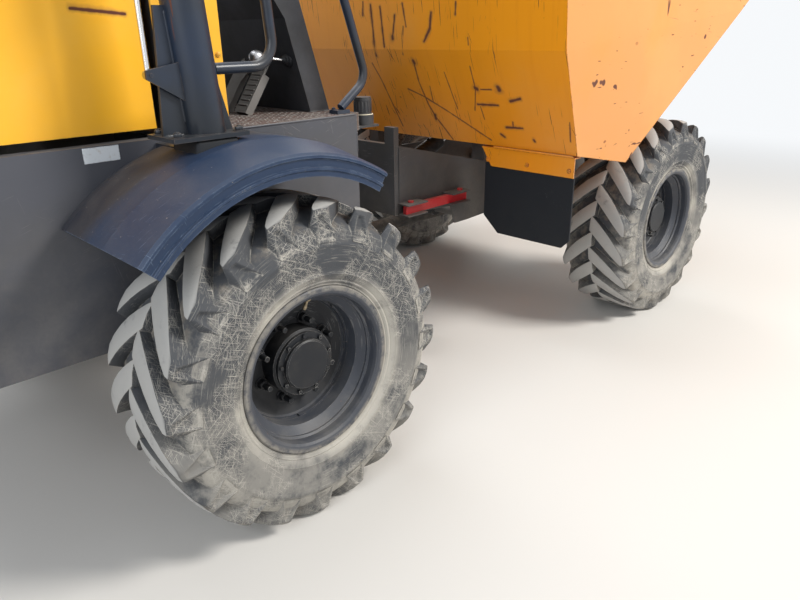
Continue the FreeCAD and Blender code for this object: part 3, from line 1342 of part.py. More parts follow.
def make_guard(label, side):
    low = "guard_radius - guard_skirt"
    body = turned(f"guard_{label}_skin", [
        (radius, f"{side} * ({across})") for radius, across in [
            ("guard_inner_radius - 14", "rear_half + seat_gap"),
            ("guard_inner_radius", "rear_half + 60"),
            ("guard_inner_radius", "post_offset + 110"),
            ("guard_radius - 9", "guard_outer - 10"),
            ("guard_radius - 16", "guard_outer"),
            ("guard_radius - 24", "guard_outer"),
            ("guard_radius - 27", "guard_outer - guard_channel"),
            ("guard_radius - 48", "guard_outer - guard_channel"),
            ("guard_radius - 51", "guard_outer"),
            ("guard_radius - 57", "guard_outer"),
            ("guard_radius - 61", "guard_outer - 5"),
            (low, "guard_outer - 5"),
            (low, "guard_outer - guard_channel - guard_wall"),
            ("guard_radius - 24", "guard_outer - guard_channel - guard_wall"),
            ("guard_inner_radius - guard_wall", "post_offset + 108"),
            ("guard_inner_radius - guard_wall", "rear_half + 60"),
            ("guard_inner_radius - 14 - guard_wall", "rear_half + guard_wall"),
            ("guard_inner_radius - 60", "rear_half + guard_wall"),
            ("guard_inner_radius - 60", "rear_half + seat_gap"),
        ]
    ], "guard_sweep")
    body.Placement = Placement(Vector(), Rotation(Vector(0, 1, 0), -1))
    bind(body, "Placement.Rotation.Angle", "-(guard_start + guard_sweep)")
    put(body, "rear_axle - guard_centre_behind", 0, "axle_height + guard_centre_raise")
    hole = block(f"guard_hole_{label}", ("post_axis - 66", "post_axis + 66"),
                 mirror_y(side, "rear_half - 5", "post_offset + 64"), ("rear_top - 140", "post_foot + 20"))
    return cut(f"guard_{label}_unit", body, hole)


sub_part("fenders", fuse("fenders_unit", [make_guard(label, side) for label, side in sides.items()]))


def make_bonnet():
    shell = hollowed("bonnet_shell", [
        ("bonnet_end", "bonnet_bottom"),
        ("bonnet_start", "bonnet_bottom"),
        ("bonnet_start", "bonnet_top"),
        ("bonnet_end + 180", "bonnet_top - 30"),
        ("bonnet_end + bonnet_rear_lean", "bonnet_rear_top"),
    ], "-body_half", "body_half", "bonnet_wall", [(1, 0, 0), (0, 0, -1)])
    pieces = [shell]
    holes = []
    for label, side in sides.items():
        reach = mirror_y(side, "200", "400")
        pieces.append(rod(f"bonnet_knuckle_{label}", "y", "hinge_pin_diameter + 10", *reach, "bonnet_axis", 0,
                          hinge_height))
        pieces.append(block(f"bonnet_leaf_{label}", ("bonnet_start - 30", "bonnet_axis"), reach,
                            (f"{hinge_height} + 3", f"{hinge_height} + 10")))
        holes.append(rod(f"bonnet_hole_{label}", "y", "hinge_pin_diameter + 2 * running_gap",
                         *mirror_y(side, "190", "410"), "bonnet_axis", 0, hinge_height))
    return cut("bonnet_unit", fuse("bonnet_solid", pieces), fuse("bonnet_holes", holes))


sub_part("bonnet", make_bonnet())


def rear_face(height, out):
    lean = f"bonnet_rear_lean * ({height}) / (bonnet_rear_top - bonnet_bottom)"
    return (f"bonnet_end + {lean} - {out}", f"bonnet_bottom + {height}")


grille_top = "(bonnet_rear_top - bonnet_bottom - grille_margin)"
grille_plate = plate("rear_grille_plate", "XZ_Plane", [
    rear_face("grille_margin", "seat_gap"),
    rear_face("grille_margin", "grille_depth"),
    rear_face(grille_top, "grille_depth"),
    rear_face(grille_top, "seat_gap"),
], "-grille_width / 2", "grille_width / 2")
grille_slots = [
    block(f"grille_slot_{number}_{label}", ("bonnet_end - 40", "bonnet_end + 100"),
          mirror_y(side, "18", "grille_width / 2 - 30"),
          (f"bonnet_bottom + grille_margin + 20 + {number} * grille_pitch",
           f"bonnet_bottom + grille_margin + 36 + {number} * grille_pitch"))
    for number in range(int(measure("grille_slots"))) for label, side in sides.items()
]
sub_part("rear_grille", cut("rear_grille_unit", grille_plate, fuse("grille_openings", grille_slots)))

sub_part("access_step", fuse("access_step_unit", [
    block("step_tread", ("chassis_front + seat_gap", "chassis_front + 80"), ("rear_half - 130", "rear_half"),
          ("rear_top - 480", "rear_top - 472")),
    block("step_hanger_inner", ("chassis_front + seat_gap", "chassis_front + 12"),
          ("rear_half - 130", "rear_half - 122"), ("rear_top - 480", "rear_top - 260")),
    block("step_hanger_outer", ("chassis_front + seat_gap", "chassis_front + 80"),
          ("rear_half - 8", "rear_half"), ("rear_top - 480", "rear_top - 420")),
]))

doc.recompute()
for item in doc.Objects:
    if "Invalid" in item.State or "Error" in item.State:
        raise RuntimeError(f"{item.Name} failed: {item.State}")
for item in sub_parts:
    if item.Shape.isNull() or not item.Shape.isValid():
        raise RuntimeError(f"{item.Label} has no valid shape")

os.makedirs("parts", exist_ok=True)
for item in sub_parts:
    item.Shape.exportStep(f"parts/{item.Label}.step")
    box = item.Shape.BoundBox
    print(f"{item.Label}: {len(item.Shape.Solids)} solids, {item.Shape.Volume / 1e9:.5f} m3, "
          f"x {box.XMin:.0f}..{box.XMax:.0f} y {box.YMin:.0f}..{box.YMax:.0f} z {box.ZMin:.0f}..{box.ZMax:.0f}")
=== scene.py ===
import json
import math
import random

import bmesh
import bpy
from mathutils import Matrix, Quaternion, Vector


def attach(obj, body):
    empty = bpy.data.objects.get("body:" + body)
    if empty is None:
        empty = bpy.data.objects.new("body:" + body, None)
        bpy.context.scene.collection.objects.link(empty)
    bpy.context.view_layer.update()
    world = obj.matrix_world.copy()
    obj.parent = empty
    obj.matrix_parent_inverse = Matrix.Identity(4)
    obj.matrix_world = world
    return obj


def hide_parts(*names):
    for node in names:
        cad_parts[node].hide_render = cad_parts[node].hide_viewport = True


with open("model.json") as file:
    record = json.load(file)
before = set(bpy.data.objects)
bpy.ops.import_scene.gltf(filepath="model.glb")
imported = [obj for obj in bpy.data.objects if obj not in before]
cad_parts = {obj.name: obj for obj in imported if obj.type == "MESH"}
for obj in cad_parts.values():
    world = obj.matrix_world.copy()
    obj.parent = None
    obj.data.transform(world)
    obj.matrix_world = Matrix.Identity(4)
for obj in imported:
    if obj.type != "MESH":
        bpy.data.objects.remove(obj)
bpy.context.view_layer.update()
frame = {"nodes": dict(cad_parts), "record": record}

random.seed(5)

# Camera, light and floor
cameraSettings = {
    "place": (-2.277, -2.592, 1.529),
    "forward": (0.649, 0.661, -0.377),
    "roll": -0.87,
    "lens": 29.7,
}
lightSettings = [
    # name, place, aim, size, watts, colour
    ("keyLight", (3.0, -5.6, 5.6), (-0.2, -0.4, 0.8), 2.2, 640, (1.0, 0.97, 0.92)),
    ("fillLight", (-5.2, -2.6, 3.2), (-0.8, 0.0, 0.9), 3.2, 130, (0.92, 0.96, 1.0)),
    ("topLight", (-0.6, 1.6, 6.4), (-0.2, 0.0, 0.6), 4.5, 200, (0.95, 0.97, 1.0)),
    ("farLight", (4.6, 4.4, 3.4), (0.4, 0.4, 0.8), 3.2, 120, (1.0, 0.98, 0.95)),
]
stageSettings = {
    "floorSize": 60.0,
    "floorColour": (0.66, 0.64, 0.61),
    "fade": (3.2, 9.0),
    "worldStrength": 0.34,
    "white": (0.93, 0.95, 0.97, 1),
}


def deselectAll():
    if bpy.context.object and bpy.context.object.mode != "OBJECT":
        bpy.ops.object.mode_set(mode="OBJECT")
    bpy.ops.object.select_all(action="DESELECT")


def makeCamera(settings):
    bpy.ops.object.camera_add(location=settings["place"])
    camera = bpy.context.object
    camera.name = "photoCamera"
    aim = Vector(settings["forward"]).to_track_quat("-Z", "Y")
    camera.rotation_mode = "QUATERNION"
    camera.rotation_quaternion = aim @ Quaternion((0, 0, 1), math.radians(settings["roll"]))
    camera.data.sensor_width = 36.0
    camera.data.lens = settings["lens"]
    camera.data.clip_start = 0.05
    bpy.context.scene.camera = camera


def makeLights(rows):
    for name, place, aim, size, watts, colour in rows:
        bpy.ops.object.light_add(type="AREA", location=place)
        light = bpy.context.object
        light.name = name
        light.rotation_mode = "QUATERNION"
        light.rotation_quaternion = (Vector(aim) - Vector(place)).to_track_quat("-Z", "Y")
        light.data.size = size
        light.data.energy = watts
        light.data.color = colour


def wire(tree, source, target):
    tree.links.new(source, target)


def mathNode(tree, operation, first, second=None, clamp=False):
    node = tree.nodes.new("ShaderNodeMath")
    node.operation = operation
    node.use_clamp = clamp
    for socket, value in zip(node.inputs, (first, second)):
        if value is None:
            continue
        if isinstance(value, (int, float)):
            socket.default_value = value
        else:
            wire(tree, value, socket)
    return node.outputs[0]


def seenWhite(tree):
    # 1 for what the camera, mirrors and glass see, 0 for the light that falls on the object
    path = tree.nodes.new("ShaderNodeLightPath").outputs
    seen = mathNode(tree, "ADD", path["Is Camera Ray"], path["Is Glossy Ray"])
    return mathNode(tree, "ADD", seen, path["Is Transmission Ray"], True)


def mixShader(tree, mask, first, second, output):
    mix = tree.nodes.new("ShaderNodeMixShader")
    for source, socket in zip((mask, first.outputs[0], second.outputs[0]), mix.inputs):
        wire(tree, source, socket)
    wire(tree, mix.outputs[0], output.inputs["Surface"])


def makeFloor(settings):
    bpy.ops.mesh.primitive_plane_add(size=settings["floorSize"], location=(0, 0, 0))
    floor = bpy.context.object
    floor.name = "studioFloor"
    material = bpy.data.materials.new("floorPaint")
    material.use_nodes = True
    tree = material.node_tree
    shader = tree.nodes["Principled BSDF"]
    shader.inputs["Base Color"].default_value = (*settings["floorColour"], 1)
    shader.inputs["Roughness"].default_value = 0.95
    # far from the object the floor fades into the white behind it
    away = tree.nodes.new("ShaderNodeVectorMath")
    away.operation = "LENGTH"
    wire(tree, tree.nodes.new("ShaderNodeTexCoord").outputs["Object"], away.inputs[0])
    fade = tree.nodes.new("ShaderNodeMapRange")
    fade.interpolation_type = "SMOOTHSTEP"
    fade.inputs["From Min"].default_value, fade.inputs["From Max"].default_value = settings["fade"]
    wire(tree, away.outputs["Value"], fade.inputs["Value"])
    white = tree.nodes.new("ShaderNodeEmission")
    white.inputs["Color"].default_value = settings["white"]
    mask = mathNode(tree, "MULTIPLY", fade.outputs["Result"], seenWhite(tree))
    mixShader(tree, mask, shader, white, tree.nodes["Material Output"])
    floor.data.materials.append(material)


def makeWorld(settings):
    world = bpy.data.worlds.new("studioWorld")
    bpy.context.scene.world = world
    world.use_nodes = True
    tree = world.node_tree
    soft = tree.nodes["Background"]
    soft.inputs["Color"].default_value = (0.93, 0.96, 1.0, 1)
    soft.inputs["Strength"].default_value = settings["worldStrength"]
    white = tree.nodes.new("ShaderNodeBackground")
    white.inputs["Color"].default_value = settings["white"]
    mixShader(tree, seenWhite(tree), soft, white, tree.nodes["World Output"])


deselectAll()
makeCamera(cameraSettings)
makeLights(lightSettings)
makeFloor(stageSettings)
makeWorld(stageSettings)
bpy.context.scene.view_settings.view_transform = "Standard"
print("stage ready")


# Node groups that several finishes share
def newGroup(name, inputs, outputs):
    group = bpy.data.node_groups.new(name, "ShaderNodeTree")
    for label, kind, value in inputs:
        socket = group.interface.new_socket(label, in_out="INPUT", socket_type="NodeSocket" + kind)
        if value is not None:
            socket.default_value = value
    for label, kind in outputs:
        group.interface.new_socket(label, in_out="OUTPUT", socket_type="NodeSocket" + kind)
    return group, group.nodes.new("NodeGroupInput"), group.nodes.new("NodeGroupOutput")


def rampNode(tree, source, low, high):
    node = tree.nodes.new("ShaderNodeMapRange")
    node.interpolation_type = "SMOOTHSTEP"
    for label, value in (("From Min", low), ("From Max", high)):
        if isinstance(value, (int, float)):
            node.inputs[label].default_value = value
        else:
            wire(tree, value, node.inputs[label])
    wire(tree, source, node.inputs["Value"])
    return node.outputs["Result"]


def noiseNode(tree, vector, scale, detail=4.0, rough=0.55, distortion=0.0):
    node = tree.nodes.new("ShaderNodeTexNoise")
    node.inputs["Detail"].default_value = detail
    node.inputs["Roughness"].default_value = rough
    node.inputs["Distortion"].default_value = distortion
    if isinstance(scale, (int, float)):
        node.inputs["Scale"].default_value = scale
    else:
        wire(tree, scale, node.inputs["Scale"])
    wire(tree, vector, node.inputs["Vector"])
    return node.outputs["Fac"]


def mappedNode(tree, vector, scale=(1, 1, 1), turn=(0, 0, 0), place=(0, 0, 0)):
    # A Mapping node scales before it turns, so the turn has its own node first
    for label, value in (("Rotation", [math.radians(angle) for angle in turn]), ("Scale", scale)):
        node = tree.nodes.new("ShaderNodeMapping")
        node.inputs[label].default_value = value
        wire(tree, vector, node.inputs["Vector"])
        vector = node.outputs["Vector"]
    node.inputs["Location"].default_value = place
    return vector


def makeDustGroup():
    group, entry, exitNode = newGroup("settledDust", [
        ("Low", "Float", 0.3), ("High", "Float", 1.2), ("Amount", "Float", 0.5), ("Upward", "Float", 0.5),
        ("Patch Scale", "Float", 6.0)], [("Mask", "Float")])
    coords = group.nodes.new("ShaderNodeTexCoord").outputs["Object"]
    split = group.nodes.new("ShaderNodeSeparateXYZ")
    wire(group, coords, split.inputs[0])
    facing = group.nodes.new("ShaderNodeNewGeometry").outputs["Normal"]
    tilt = group.nodes.new("ShaderNodeSeparateXYZ")
    wire(group, facing, tilt.inputs[0])
    patch = noiseNode(group, coords, entry.outputs["Patch Scale"], 6.0, 0.62, 0.4)
    fine = noiseNode(group, coords, 85.0, 3.0, 0.6)
    fall = rampNode(group, split.outputs["Z"], entry.outputs["High"], entry.outputs["Low"])
    up = mathNode(group, "MULTIPLY", rampNode(group, tilt.outputs["Z"], 0.1, 0.95), entry.outputs["Upward"])
    ground = mathNode(group, "MULTIPLY", fall, entry.outputs["Amount"])
    total = mathNode(group, "ADD", up, ground)
    broken = mathNode(group, "MULTIPLY", total, rampNode(group, patch, 0.28, 0.66))
    grainy = mathNode(group, "MULTIPLY", broken, mathNode(group, "ADD", fine, 0.55), clamp=True)
    wire(group, grainy, exitNode.inputs["Mask"])
    return group


def makeScratchGroup():
    group, entry, exitNode = newGroup("scratchMarks", [
        ("Vector", "Vector", None), ("Threshold", "Float", 0.66), ("Softness", "Float", 0.03),
        ("Patch Scale", "Float", 2.0), ("Patch", "Float", 0.5)], [("Mask", "Float")])
    line = noiseNode(group, entry.outputs["Vector"], 1.0, 2.0, 0.5, 0.1)
    coords = group.nodes.new("ShaderNodeTexCoord").outputs["Object"]
    patch = noiseNode(group, coords, entry.outputs["Patch Scale"], 2.0, 0.5)
    edge = mathNode(group, "ADD", entry.outputs["Threshold"], entry.outputs["Softness"])
    mark = rampNode(group, line, entry.outputs["Threshold"], edge)
    upper = mathNode(group, "ADD", entry.outputs["Patch"], 0.08)
    wire(group, mathNode(group, "MULTIPLY", mark, rampNode(group, patch, entry.outputs["Patch"], upper)),
         exitNode.inputs["Mask"])
    return group


def makeEdgeGroup():
    group, entry, exitNode = newGroup("edgeWear", [
        ("Radius", "Float", 0.004), ("Amount", "Float", 1.0), ("Break Scale", "Float", 30.0)],
        [("Mask", "Float")])
    bevel = group.nodes.new("ShaderNodeBevel")
    bevel.samples = 4
    wire(group, entry.outputs["Radius"], bevel.inputs["Radius"])
    true = group.nodes.new("ShaderNodeNewGeometry").outputs["Normal"]
    dot = group.nodes.new("ShaderNodeVectorMath")
    dot.operation = "DOT_PRODUCT"
    wire(group, bevel.outputs["Normal"], dot.inputs[0])
    wire(group, true, dot.inputs[1])
    coords = group.nodes.new("ShaderNodeTexCoord").outputs["Object"]
    broken = noiseNode(group, coords, entry.outputs["Break Scale"], 4.0, 0.7)
    edge = rampNode(group, dot.outputs["Value"], 0.995, 0.90)
    mask = mathNode(group, "MULTIPLY", edge, rampNode(group, broken, 0.38, 0.62))
    wire(group, mathNode(group, "MULTIPLY", mask, entry.outputs["Amount"], clamp=True),
         exitNode.inputs["Mask"])
    return group


def makeMarkGroup():
    # The distance from a line between two points, in widths, or the lesser one that comes in
    group, entry, exitNode = newGroup("nearestMark", [
        ("Start", "Vector", (0, 0, 0)), ("End", "Vector", (1, 0, 0)), ("Width", "Float", 0.004),
        ("Before", "Float", 100.0)], [("Ratio", "Float")])
    coords = group.nodes.new("ShaderNodeTexCoord").outputs["Object"]

    def vectorNode(operation, first, second, output="Value"):
        node = group.nodes.new("ShaderNodeVectorMath")
        node.operation = operation
        wire(group, first, node.inputs[0])
        wire(group, second, node.inputs["Scale" if operation == "SCALE" else 1])
        return node.outputs[output]

    along = vectorNode("SUBTRACT", entry.outputs["End"], entry.outputs["Start"], "Vector")
    length = vectorNode("DOT_PRODUCT", along, along)
    reach = vectorNode("SUBTRACT", coords, entry.outputs["Start"], "Vector")
    share = mathNode(group, "DIVIDE", vectorNode("DOT_PRODUCT", reach, along), length, clamp=True)
    gap = vectorNode("DISTANCE", reach, vectorNode("SCALE", along, share, "Vector"))
    ratio = mathNode(group, "DIVIDE", gap, entry.outputs["Width"])
    wire(group, mathNode(group, "MINIMUM", ratio, entry.outputs["Before"]), exitNode.inputs["Ratio"])
    return group


dustGroup = makeDustGroup()
scratchGroup = makeScratchGroup()
edgeGroup = makeEdgeGroup()
markGroup = makeMarkGroup()


class Finish:
    # A material being made: its tree, its shader and the colour and roughness so far
    def __init__(self, name, tone, roughness, metallic=0.0):
        self.material = bpy.data.materials.new(name)
        self.material.use_nodes = True
        self.tree = self.material.node_tree
        self.shader = self.tree.nodes["Principled BSDF"]
        self.shader.inputs["Metallic"].default_value = metallic
        self.shader.inputs["Roughness"].default_value = roughness
        self.shader.inputs["Base Color"].default_value = (*tones[tone], 1)
        self.coords = self.tree.nodes.new("ShaderNodeTexCoord").outputs["Object"]
        self.colour = None
        self.plainColour = tones[tone]
        self.roughness = roughness
        self.roughnessSocket = None
        self.heights = []

    def group(self, group, **values):
        node = self.tree.nodes.new("ShaderNodeGroup")
        node.node_tree = group
        for label, value in values.items():
            socket = node.inputs[label.replace("_", " ")]
            if hasattr(value, "is_linked"):
                wire(self.tree, value, socket)
            else:
                socket.default_value = value
        return node.outputs["Mask"]

    def over(self, mask, tone, roughness=None, strength=1.0):
        # nodes are made in the order of their links, which keeps a long chain within the renderer's memory
        mask = mathNode(self.tree, "MULTIPLY", mask, strength, clamp=True) if strength != 1.0 else mask
        mix = self.tree.nodes.new("ShaderNodeMix")
        mix.data_type = "RGBA"
        wire(self.tree, mask, mix.inputs[0])
        if self.colour is None:
            mix.inputs[6].default_value = (*self.plainColour, 1)
        else:
            wire(self.tree, self.colour, mix.inputs[6])
        mix.inputs[7].default_value = (*tones[tone], 1)
        self.colour = mix.outputs[2]
        if roughness is not None:
            blend = self.tree.nodes.new("ShaderNodeMix")
            wire(self.tree, mask, blend.inputs[0])
            if self.roughnessSocket is None:
                blend.inputs[2].default_value = self.roughness
            else:
                wire(self.tree, self.roughnessSocket, blend.inputs[2])
            blend.inputs[3].default_value = roughness
            self.roughnessSocket = blend.outputs[0]
        return self

    def scraped(self, rows, tone="rust", halo="rustLight", haloStrength=0.55):
        # Long scrapes with ragged edges and a softer stain round them
        nearest = None
        for start, end, width in rows:
            node = self.tree.nodes.new("ShaderNodeGroup")
            node.node_tree = markGroup
            for label, value in (("Start", start), ("End", end), ("Width", width)):
                node.inputs[label].default_value = value
            if nearest:
                wire(self.tree, nearest, node.inputs["Before"])
            nearest = node.outputs["Ratio"]
        if nearest:
            ragged = mathNode(self.tree, "MULTIPLY", self.noise(24.0, 3.0, 0.6), 2.0)
            nearest = mathNode(self.tree, "DIVIDE", nearest, ragged)
            self.over(self.band(nearest, 2.4, 0.35), halo, 0.7, haloStrength)
            self.over(self.band(nearest, 1.0, 0.35), tone, 0.8)
        return self

    def scratched(self, rows, roughness, strength=1.0, within=None, **values):
        # Fine lines, from rows of stretch, turn, threshold, patch and tone
        for stretch, turn, threshold, patch, tone in rows:
            line = mappedNode(self.tree, self.coords, stretch, turn)
            mask = self.group(scratchGroup, Vector=line, Threshold=threshold, Patch=patch, **values)
            if within:
                mask = mathNode(self.tree, "MULTIPLY", mask, within)
            self.over(mask, tone, roughness, strength)
        return self

    def dusted(self, dust, tone="dust", roughness=0.85, strength=0.6):
        return self.over(self.group(dustGroup, **dust), tone, roughness, strength)

    def edged(self, radius, tone, roughness, strength=1.0, **values):
        return self.over(self.group(edgeGroup, Radius=radius, **values), tone, roughness, strength)

    def noise(self, scale, detail=4.0, rough=0.55, stretch=(1, 1, 1), turn=(0, 0, 0), distortion=0.0):
        return noiseNode(self.tree, mappedNode(self.tree, self.coords, stretch, turn), scale, detail, rough,
                         distortion)

    def band(self, source, low, high):
        return rampNode(self.tree, source, low, high)

    def raised(self, source, share):
        self.heights.append(mathNode(self.tree, "MULTIPLY", source, share))
        return self

    def done(self, bumpDistance=0.001, bumpStrength=0.5):
        if self.colour is not None:
            wire(self.tree, self.colour, self.shader.inputs["Base Color"])
        if self.roughnessSocket is not None:
            wire(self.tree, self.roughnessSocket, self.shader.inputs["Roughness"])
        if self.heights:
            total = self.heights[0]
            for height in self.heights[1:]:
                total = mathNode(self.tree, "ADD", total, height)
            bump = self.tree.nodes.new("ShaderNodeBump")
            bump.inputs["Distance"].default_value = bumpDistance
            bump.inputs["Strength"].default_value = bumpStrength
            wire(self.tree, total, bump.inputs["Height"])
            wire(self.tree, bump.outputs["Normal"], self.shader.inputs["Normal"])
        return self.material


# Colours of the finishes, as linear red, green and blue
tones = {
    "yellow": (0.97, 0.485, 0.024),
    "yellowFaded": (0.97, 0.555, 0.085),
    "skipYellow": (0.92, 0.335, 0.004),
    "skipPale": (0.80, 0.42, 0.12),
    # painted light: the skip's sides take a paler, less saturated tone for the sunlight on them, and some
    # dust
    "skipSidePaintedLight": (0.63, 0.28, 0.09),
    "skipDeepAndShade": (0.80, 0.262, 0.002),
    # deeper orange: random streaks, and painted shade on the skip's lower part
    "rust": (0.105, 0.030, 0.014),
    "rustLight": (0.30, 0.100, 0.030),
    "primer": (0.10, 0.078, 0.070),
    "dust": (0.40, 0.36, 0.30),
    "mud": (0.19, 0.165, 0.135),
    "chassis": (0.072, 0.075, 0.090),
    "scratch": (0.19, 0.188, 0.190),
    "frontFrame": (0.062, 0.060, 0.060),
    "black": (0.010, 0.012, 0.016),
    "blueBlack": (0.013, 0.017, 0.024),
    # dark plastic with a painted blue sky reflection in it
    "guardDarkAndSkyReflection": (0.012, 0.029, 0.070),
    # worn lips and scratches, with a painted pale blue highlight on the lips
    "guardEdgeWearAndHighlight": (0.12, 0.16, 0.23),
    "guardBrown": (0.026, 0.024, 0.026),
    "rubber": (0.058, 0.062, 0.070),
    "rubberSide": (0.052, 0.056, 0.063),
    "rubberDark": (0.030, 0.032, 0.037),
    "rubberWorn": (0.42, 0.415, 0.40),
    "tyreDust": (0.46, 0.435, 0.385),
    "rim": (0.046, 0.052, 0.067),
    "rimDisc": (0.019, 0.021, 0.026),
    "rimDust": (0.24, 0.225, 0.20),
    "red": (0.55, 0.014, 0.022),
    "bareSteel": (0.36, 0.35, 0.33),
    "lens": (0.50, 0.020, 0.012),
    "lensAmber": (0.80, 0.24, 0.010),
    "axleIron": (0.022, 0.022, 0.024),
    "engineIron": (0.06, 0.06, 0.06),
    "deckBrown": (0.085, 0.060, 0.052),
    "pedalSteel": (0.20, 0.19, 0.18),
    "chrome": (0.72, 0.72, 0.73),
    "aluminium": (0.52, 0.52, 0.54),
    "brass": (0.40, 0.33, 0.22),
    "cream": (0.62, 0.56, 0.42),
    "dial": (0.62, 0.62, 0.60),
    "label": (0.72, 0.76, 0.80),
}


def makePaint(name, base, faded, roughness, dust, scratches, edge, bump=0.25, scrapes=()):
    # Sprayed sheet metal: faded patches, dust, fine scratches and worn edges
    finish = Finish(name, base, roughness)
    cloud = finish.noise(2.2, 5.0, 0.6)
    finish.over(finish.band(cloud, 0.42, 0.70), faded, roughness + 0.08, 0.55)
    finish.dusted(dust, "dust", 0.85, 0.8)
    finish.scratched(scratches, 0.7)
    finish.scraped(scrapes)
    if edge:
        finish.edged(edge, "primer", 0.7, Amount=0.8)
    finish.raised(finish.noise(420.0, 2.0, 0.5), bump)
    finish.raised(finish.noise(9.0, 3.0, 0.5), 1.2)
    finish.shader.inputs["Specular IOR Level"].default_value = 0.38
    finish.shader.inputs["Coat Weight"].default_value = 0.12
    finish.shader.inputs["Coat Roughness"].default_value = 0.22
    return finish.done(0.0008, 0.35)


skipRear = {"crease": (0.119, 1.448), "upperLean": 0.110, "lowerLean": 0.441}
rearMarks = [
    # (across, height) points of each scrape on the skip's rear face, and its half width
    ([(-0.245, 1.39), (-0.24, 1.30), (-0.26, 1.19), (-0.285, 1.13), (-0.36, 1.02)], 0.0042),
    ([(-0.15, 1.26), (-0.24, 1.23), (-0.375, 1.165), (-0.61, 1.04)], 0.0036),
    ([(0.055, 1.38), (0.027, 1.30), (-0.02, 1.06)], 0.0036),
    ([(-0.59, 1.38), (-0.59, 1.28), (-0.555, 1.18)], 0.0028),
    ([(-0.425, 1.35), (-0.447, 1.18)], 0.0026),
    ([(-0.594, 1.20), (-0.60, 1.14)], 0.0024),
    ([(-0.306, 1.28), (-0.298, 1.20)], 0.0028),
    ([(-0.588, 1.285), (-0.600, 1.28)], 0.0110),
    ([(-0.722, 1.294), (-0.727, 1.282)], 0.0140),
    ([(-0.62, 1.279), (-0.68, 1.281)], 0.0044),
    ([(-0.58, 1.209), (-0.70, 1.212)], 0.0070),
    ([(-0.774, 1.234), (-0.83, 1.249)], 0.0085),
    ([(-0.72, 1.112), (-0.81, 1.115)], 0.0075),
    ([(-0.762, 1.14), (-0.758, 1.115)], 0.0040),
    ([(-0.677, 1.076), (-0.696, 1.063)], 0.0070),
    ([(-0.859, 1.064), (-0.863, 1.058)], 0.0075),
    ([(-1.062, 1.162), (-1.051, 1.077)], 0.0032),
    ([(-0.243, 1.398), (-0.248, 1.387)], 0.0110),
    ([(-0.284, 1.138), (-0.283, 1.117)], 0.0105),
    ([(-0.395, 1.605), (-0.383, 1.54), (-0.34, 1.484)], 0.0085),
    ([(0.0, 1.65), (0.0, 1.50), (0.005, 1.417)], 0.0075),
    ([(-0.066, 1.64), (-0.07, 1.46)], 0.0060),
    ([(-0.161, 1.60), (-0.134, 1.50)], 0.0062),
    ([(-0.134, 1.506), (-0.136, 1.498)], 0.0120),
    ([(-0.218, 1.65), (-0.231, 1.55)], 0.0046),
    ([(-0.212, 1.55), (-0.188, 1.425)], 0.0036),
    ([(-0.545, 1.645), (-0.539, 1.594)], 0.0050),
    ([(0.052, 1.665), (0.063, 1.605)], 0.0060),
    ([(-0.604, 1.50), (-0.605, 1.47)], 0.0034),
]
# start, end and half width of the long scrape on the skip's side and of the one on the bonnet
sideMark = ((0.262, -1.102, 1.277), (0.590, -1.102, 1.286), 0.0050)
bonnetScrape = ((-1.550, -0.62, 1.598), (-1.4035, -0.62, 1.585), 0.0060)


skipDust = {"Low": 0.9, "High": 1.7, "Amount": 0.07, "Upward": 0.70, "Patch_Scale": 3.0}
skipScratches = [
    # stretch, turn, threshold, patch, tone: upright, leaning, long and blotched
    ((10.0, 150.0, 4.5), (0, 0, 0), 0.665, 0.44, "rust"),
    ((10.0, 120.0, 7.0), (24, 0, 0), 0.70, 0.50, "rust"),
    ((10.0, 110.0, 5.0), (-14, 0, 0), 0.70, 0.50, "rustLight"),
    ((3.0, 8.0, 90.0), (0, -5, 0), 0.715, 0.54, "primer"),
    ((9.0, 26.0, 70.0), (8, 0, 0), 0.74, 0.50, "rust"),
]


def onSkipRear(across, height):
    foot, crease = skipRear["crease"]
    lean = skipRear["upperLean"] if height > crease else skipRear["lowerLean"]
    return foot + (crease - height) * lean, across, height


def makeSkipPaint():
    finish = Finish("skipPaint", "skipYellow", 0.40)
    split = finish.tree.nodes.new("ShaderNodeSeparateXYZ")
    wire(finish.tree, finish.coords, split.inputs[0])
    tilt = finish.tree.nodes.new("ShaderNodeSeparateXYZ")
    wire(finish.tree, finish.tree.nodes.new("ShaderNodeNewGeometry").outputs["Normal"], tilt.inputs[0])
    # painted shade: the skip's lower part takes a deeper, darker orange, for the shade on its lower faces
    finish.over(finish.band(split.outputs["Z"], 1.55, 1.00), "skipDeepAndShade", 0.45, 0.75)
    # painted light: faces that look along y take the paler side tone, for the sunlight falling on the
    # skip's sides
    sideways = finish.band(mathNode(finish.tree, "ABSOLUTE", tilt.outputs["Y"]), 0.80, 0.98)
    finish.over(sideways, "skipSidePaintedLight", 0.5, 0.85)
    cloud = finish.noise(1.6, 5.0, 0.6)
    finish.over(finish.band(cloud, 0.46, 0.76), "skipPale", 0.5, 0.25)
    streak = finish.noise(1.0, 3.0, 0.55, (2.0, 26.0, 1.6))
    finish.over(finish.band(streak, 0.50, 0.75), "skipDeepAndShade", 0.5, 0.30)
    finish.dusted(skipDust, "dust", 0.85, 0.45)
    finish.scratched(skipScratches, 0.8)
    spot = finish.noise(34.0, 4.0, 0.7)
    finish.over(finish.band(spot, 0.725, 0.765), "rust", 0.8, 0.9)
    scrapes = [sideMark]
    for points, width in rearMarks:
        places = [onSkipRear(*point) for point in points]
        scrapes += [(start, end, width) for start, end in zip(places, places[1:])]
    finish.scraped(scrapes)
    finish.edged(0.006, "rust", 0.8, Amount=0.9)
    finish.raised(finish.noise(380.0, 2.0, 0.5), 0.25)
    finish.raised(finish.noise(5.0, 3.0, 0.5), 2.5)
    finish.shader.inputs["Coat Weight"].default_value = 0.10
    finish.shader.inputs["Coat Roughness"].default_value = 0.25
    return finish.done(0.0010, 0.4)


wheelCentres = {"rear": -1.160, "gap": 2.470, "between": 0.075, "height": 0.535}


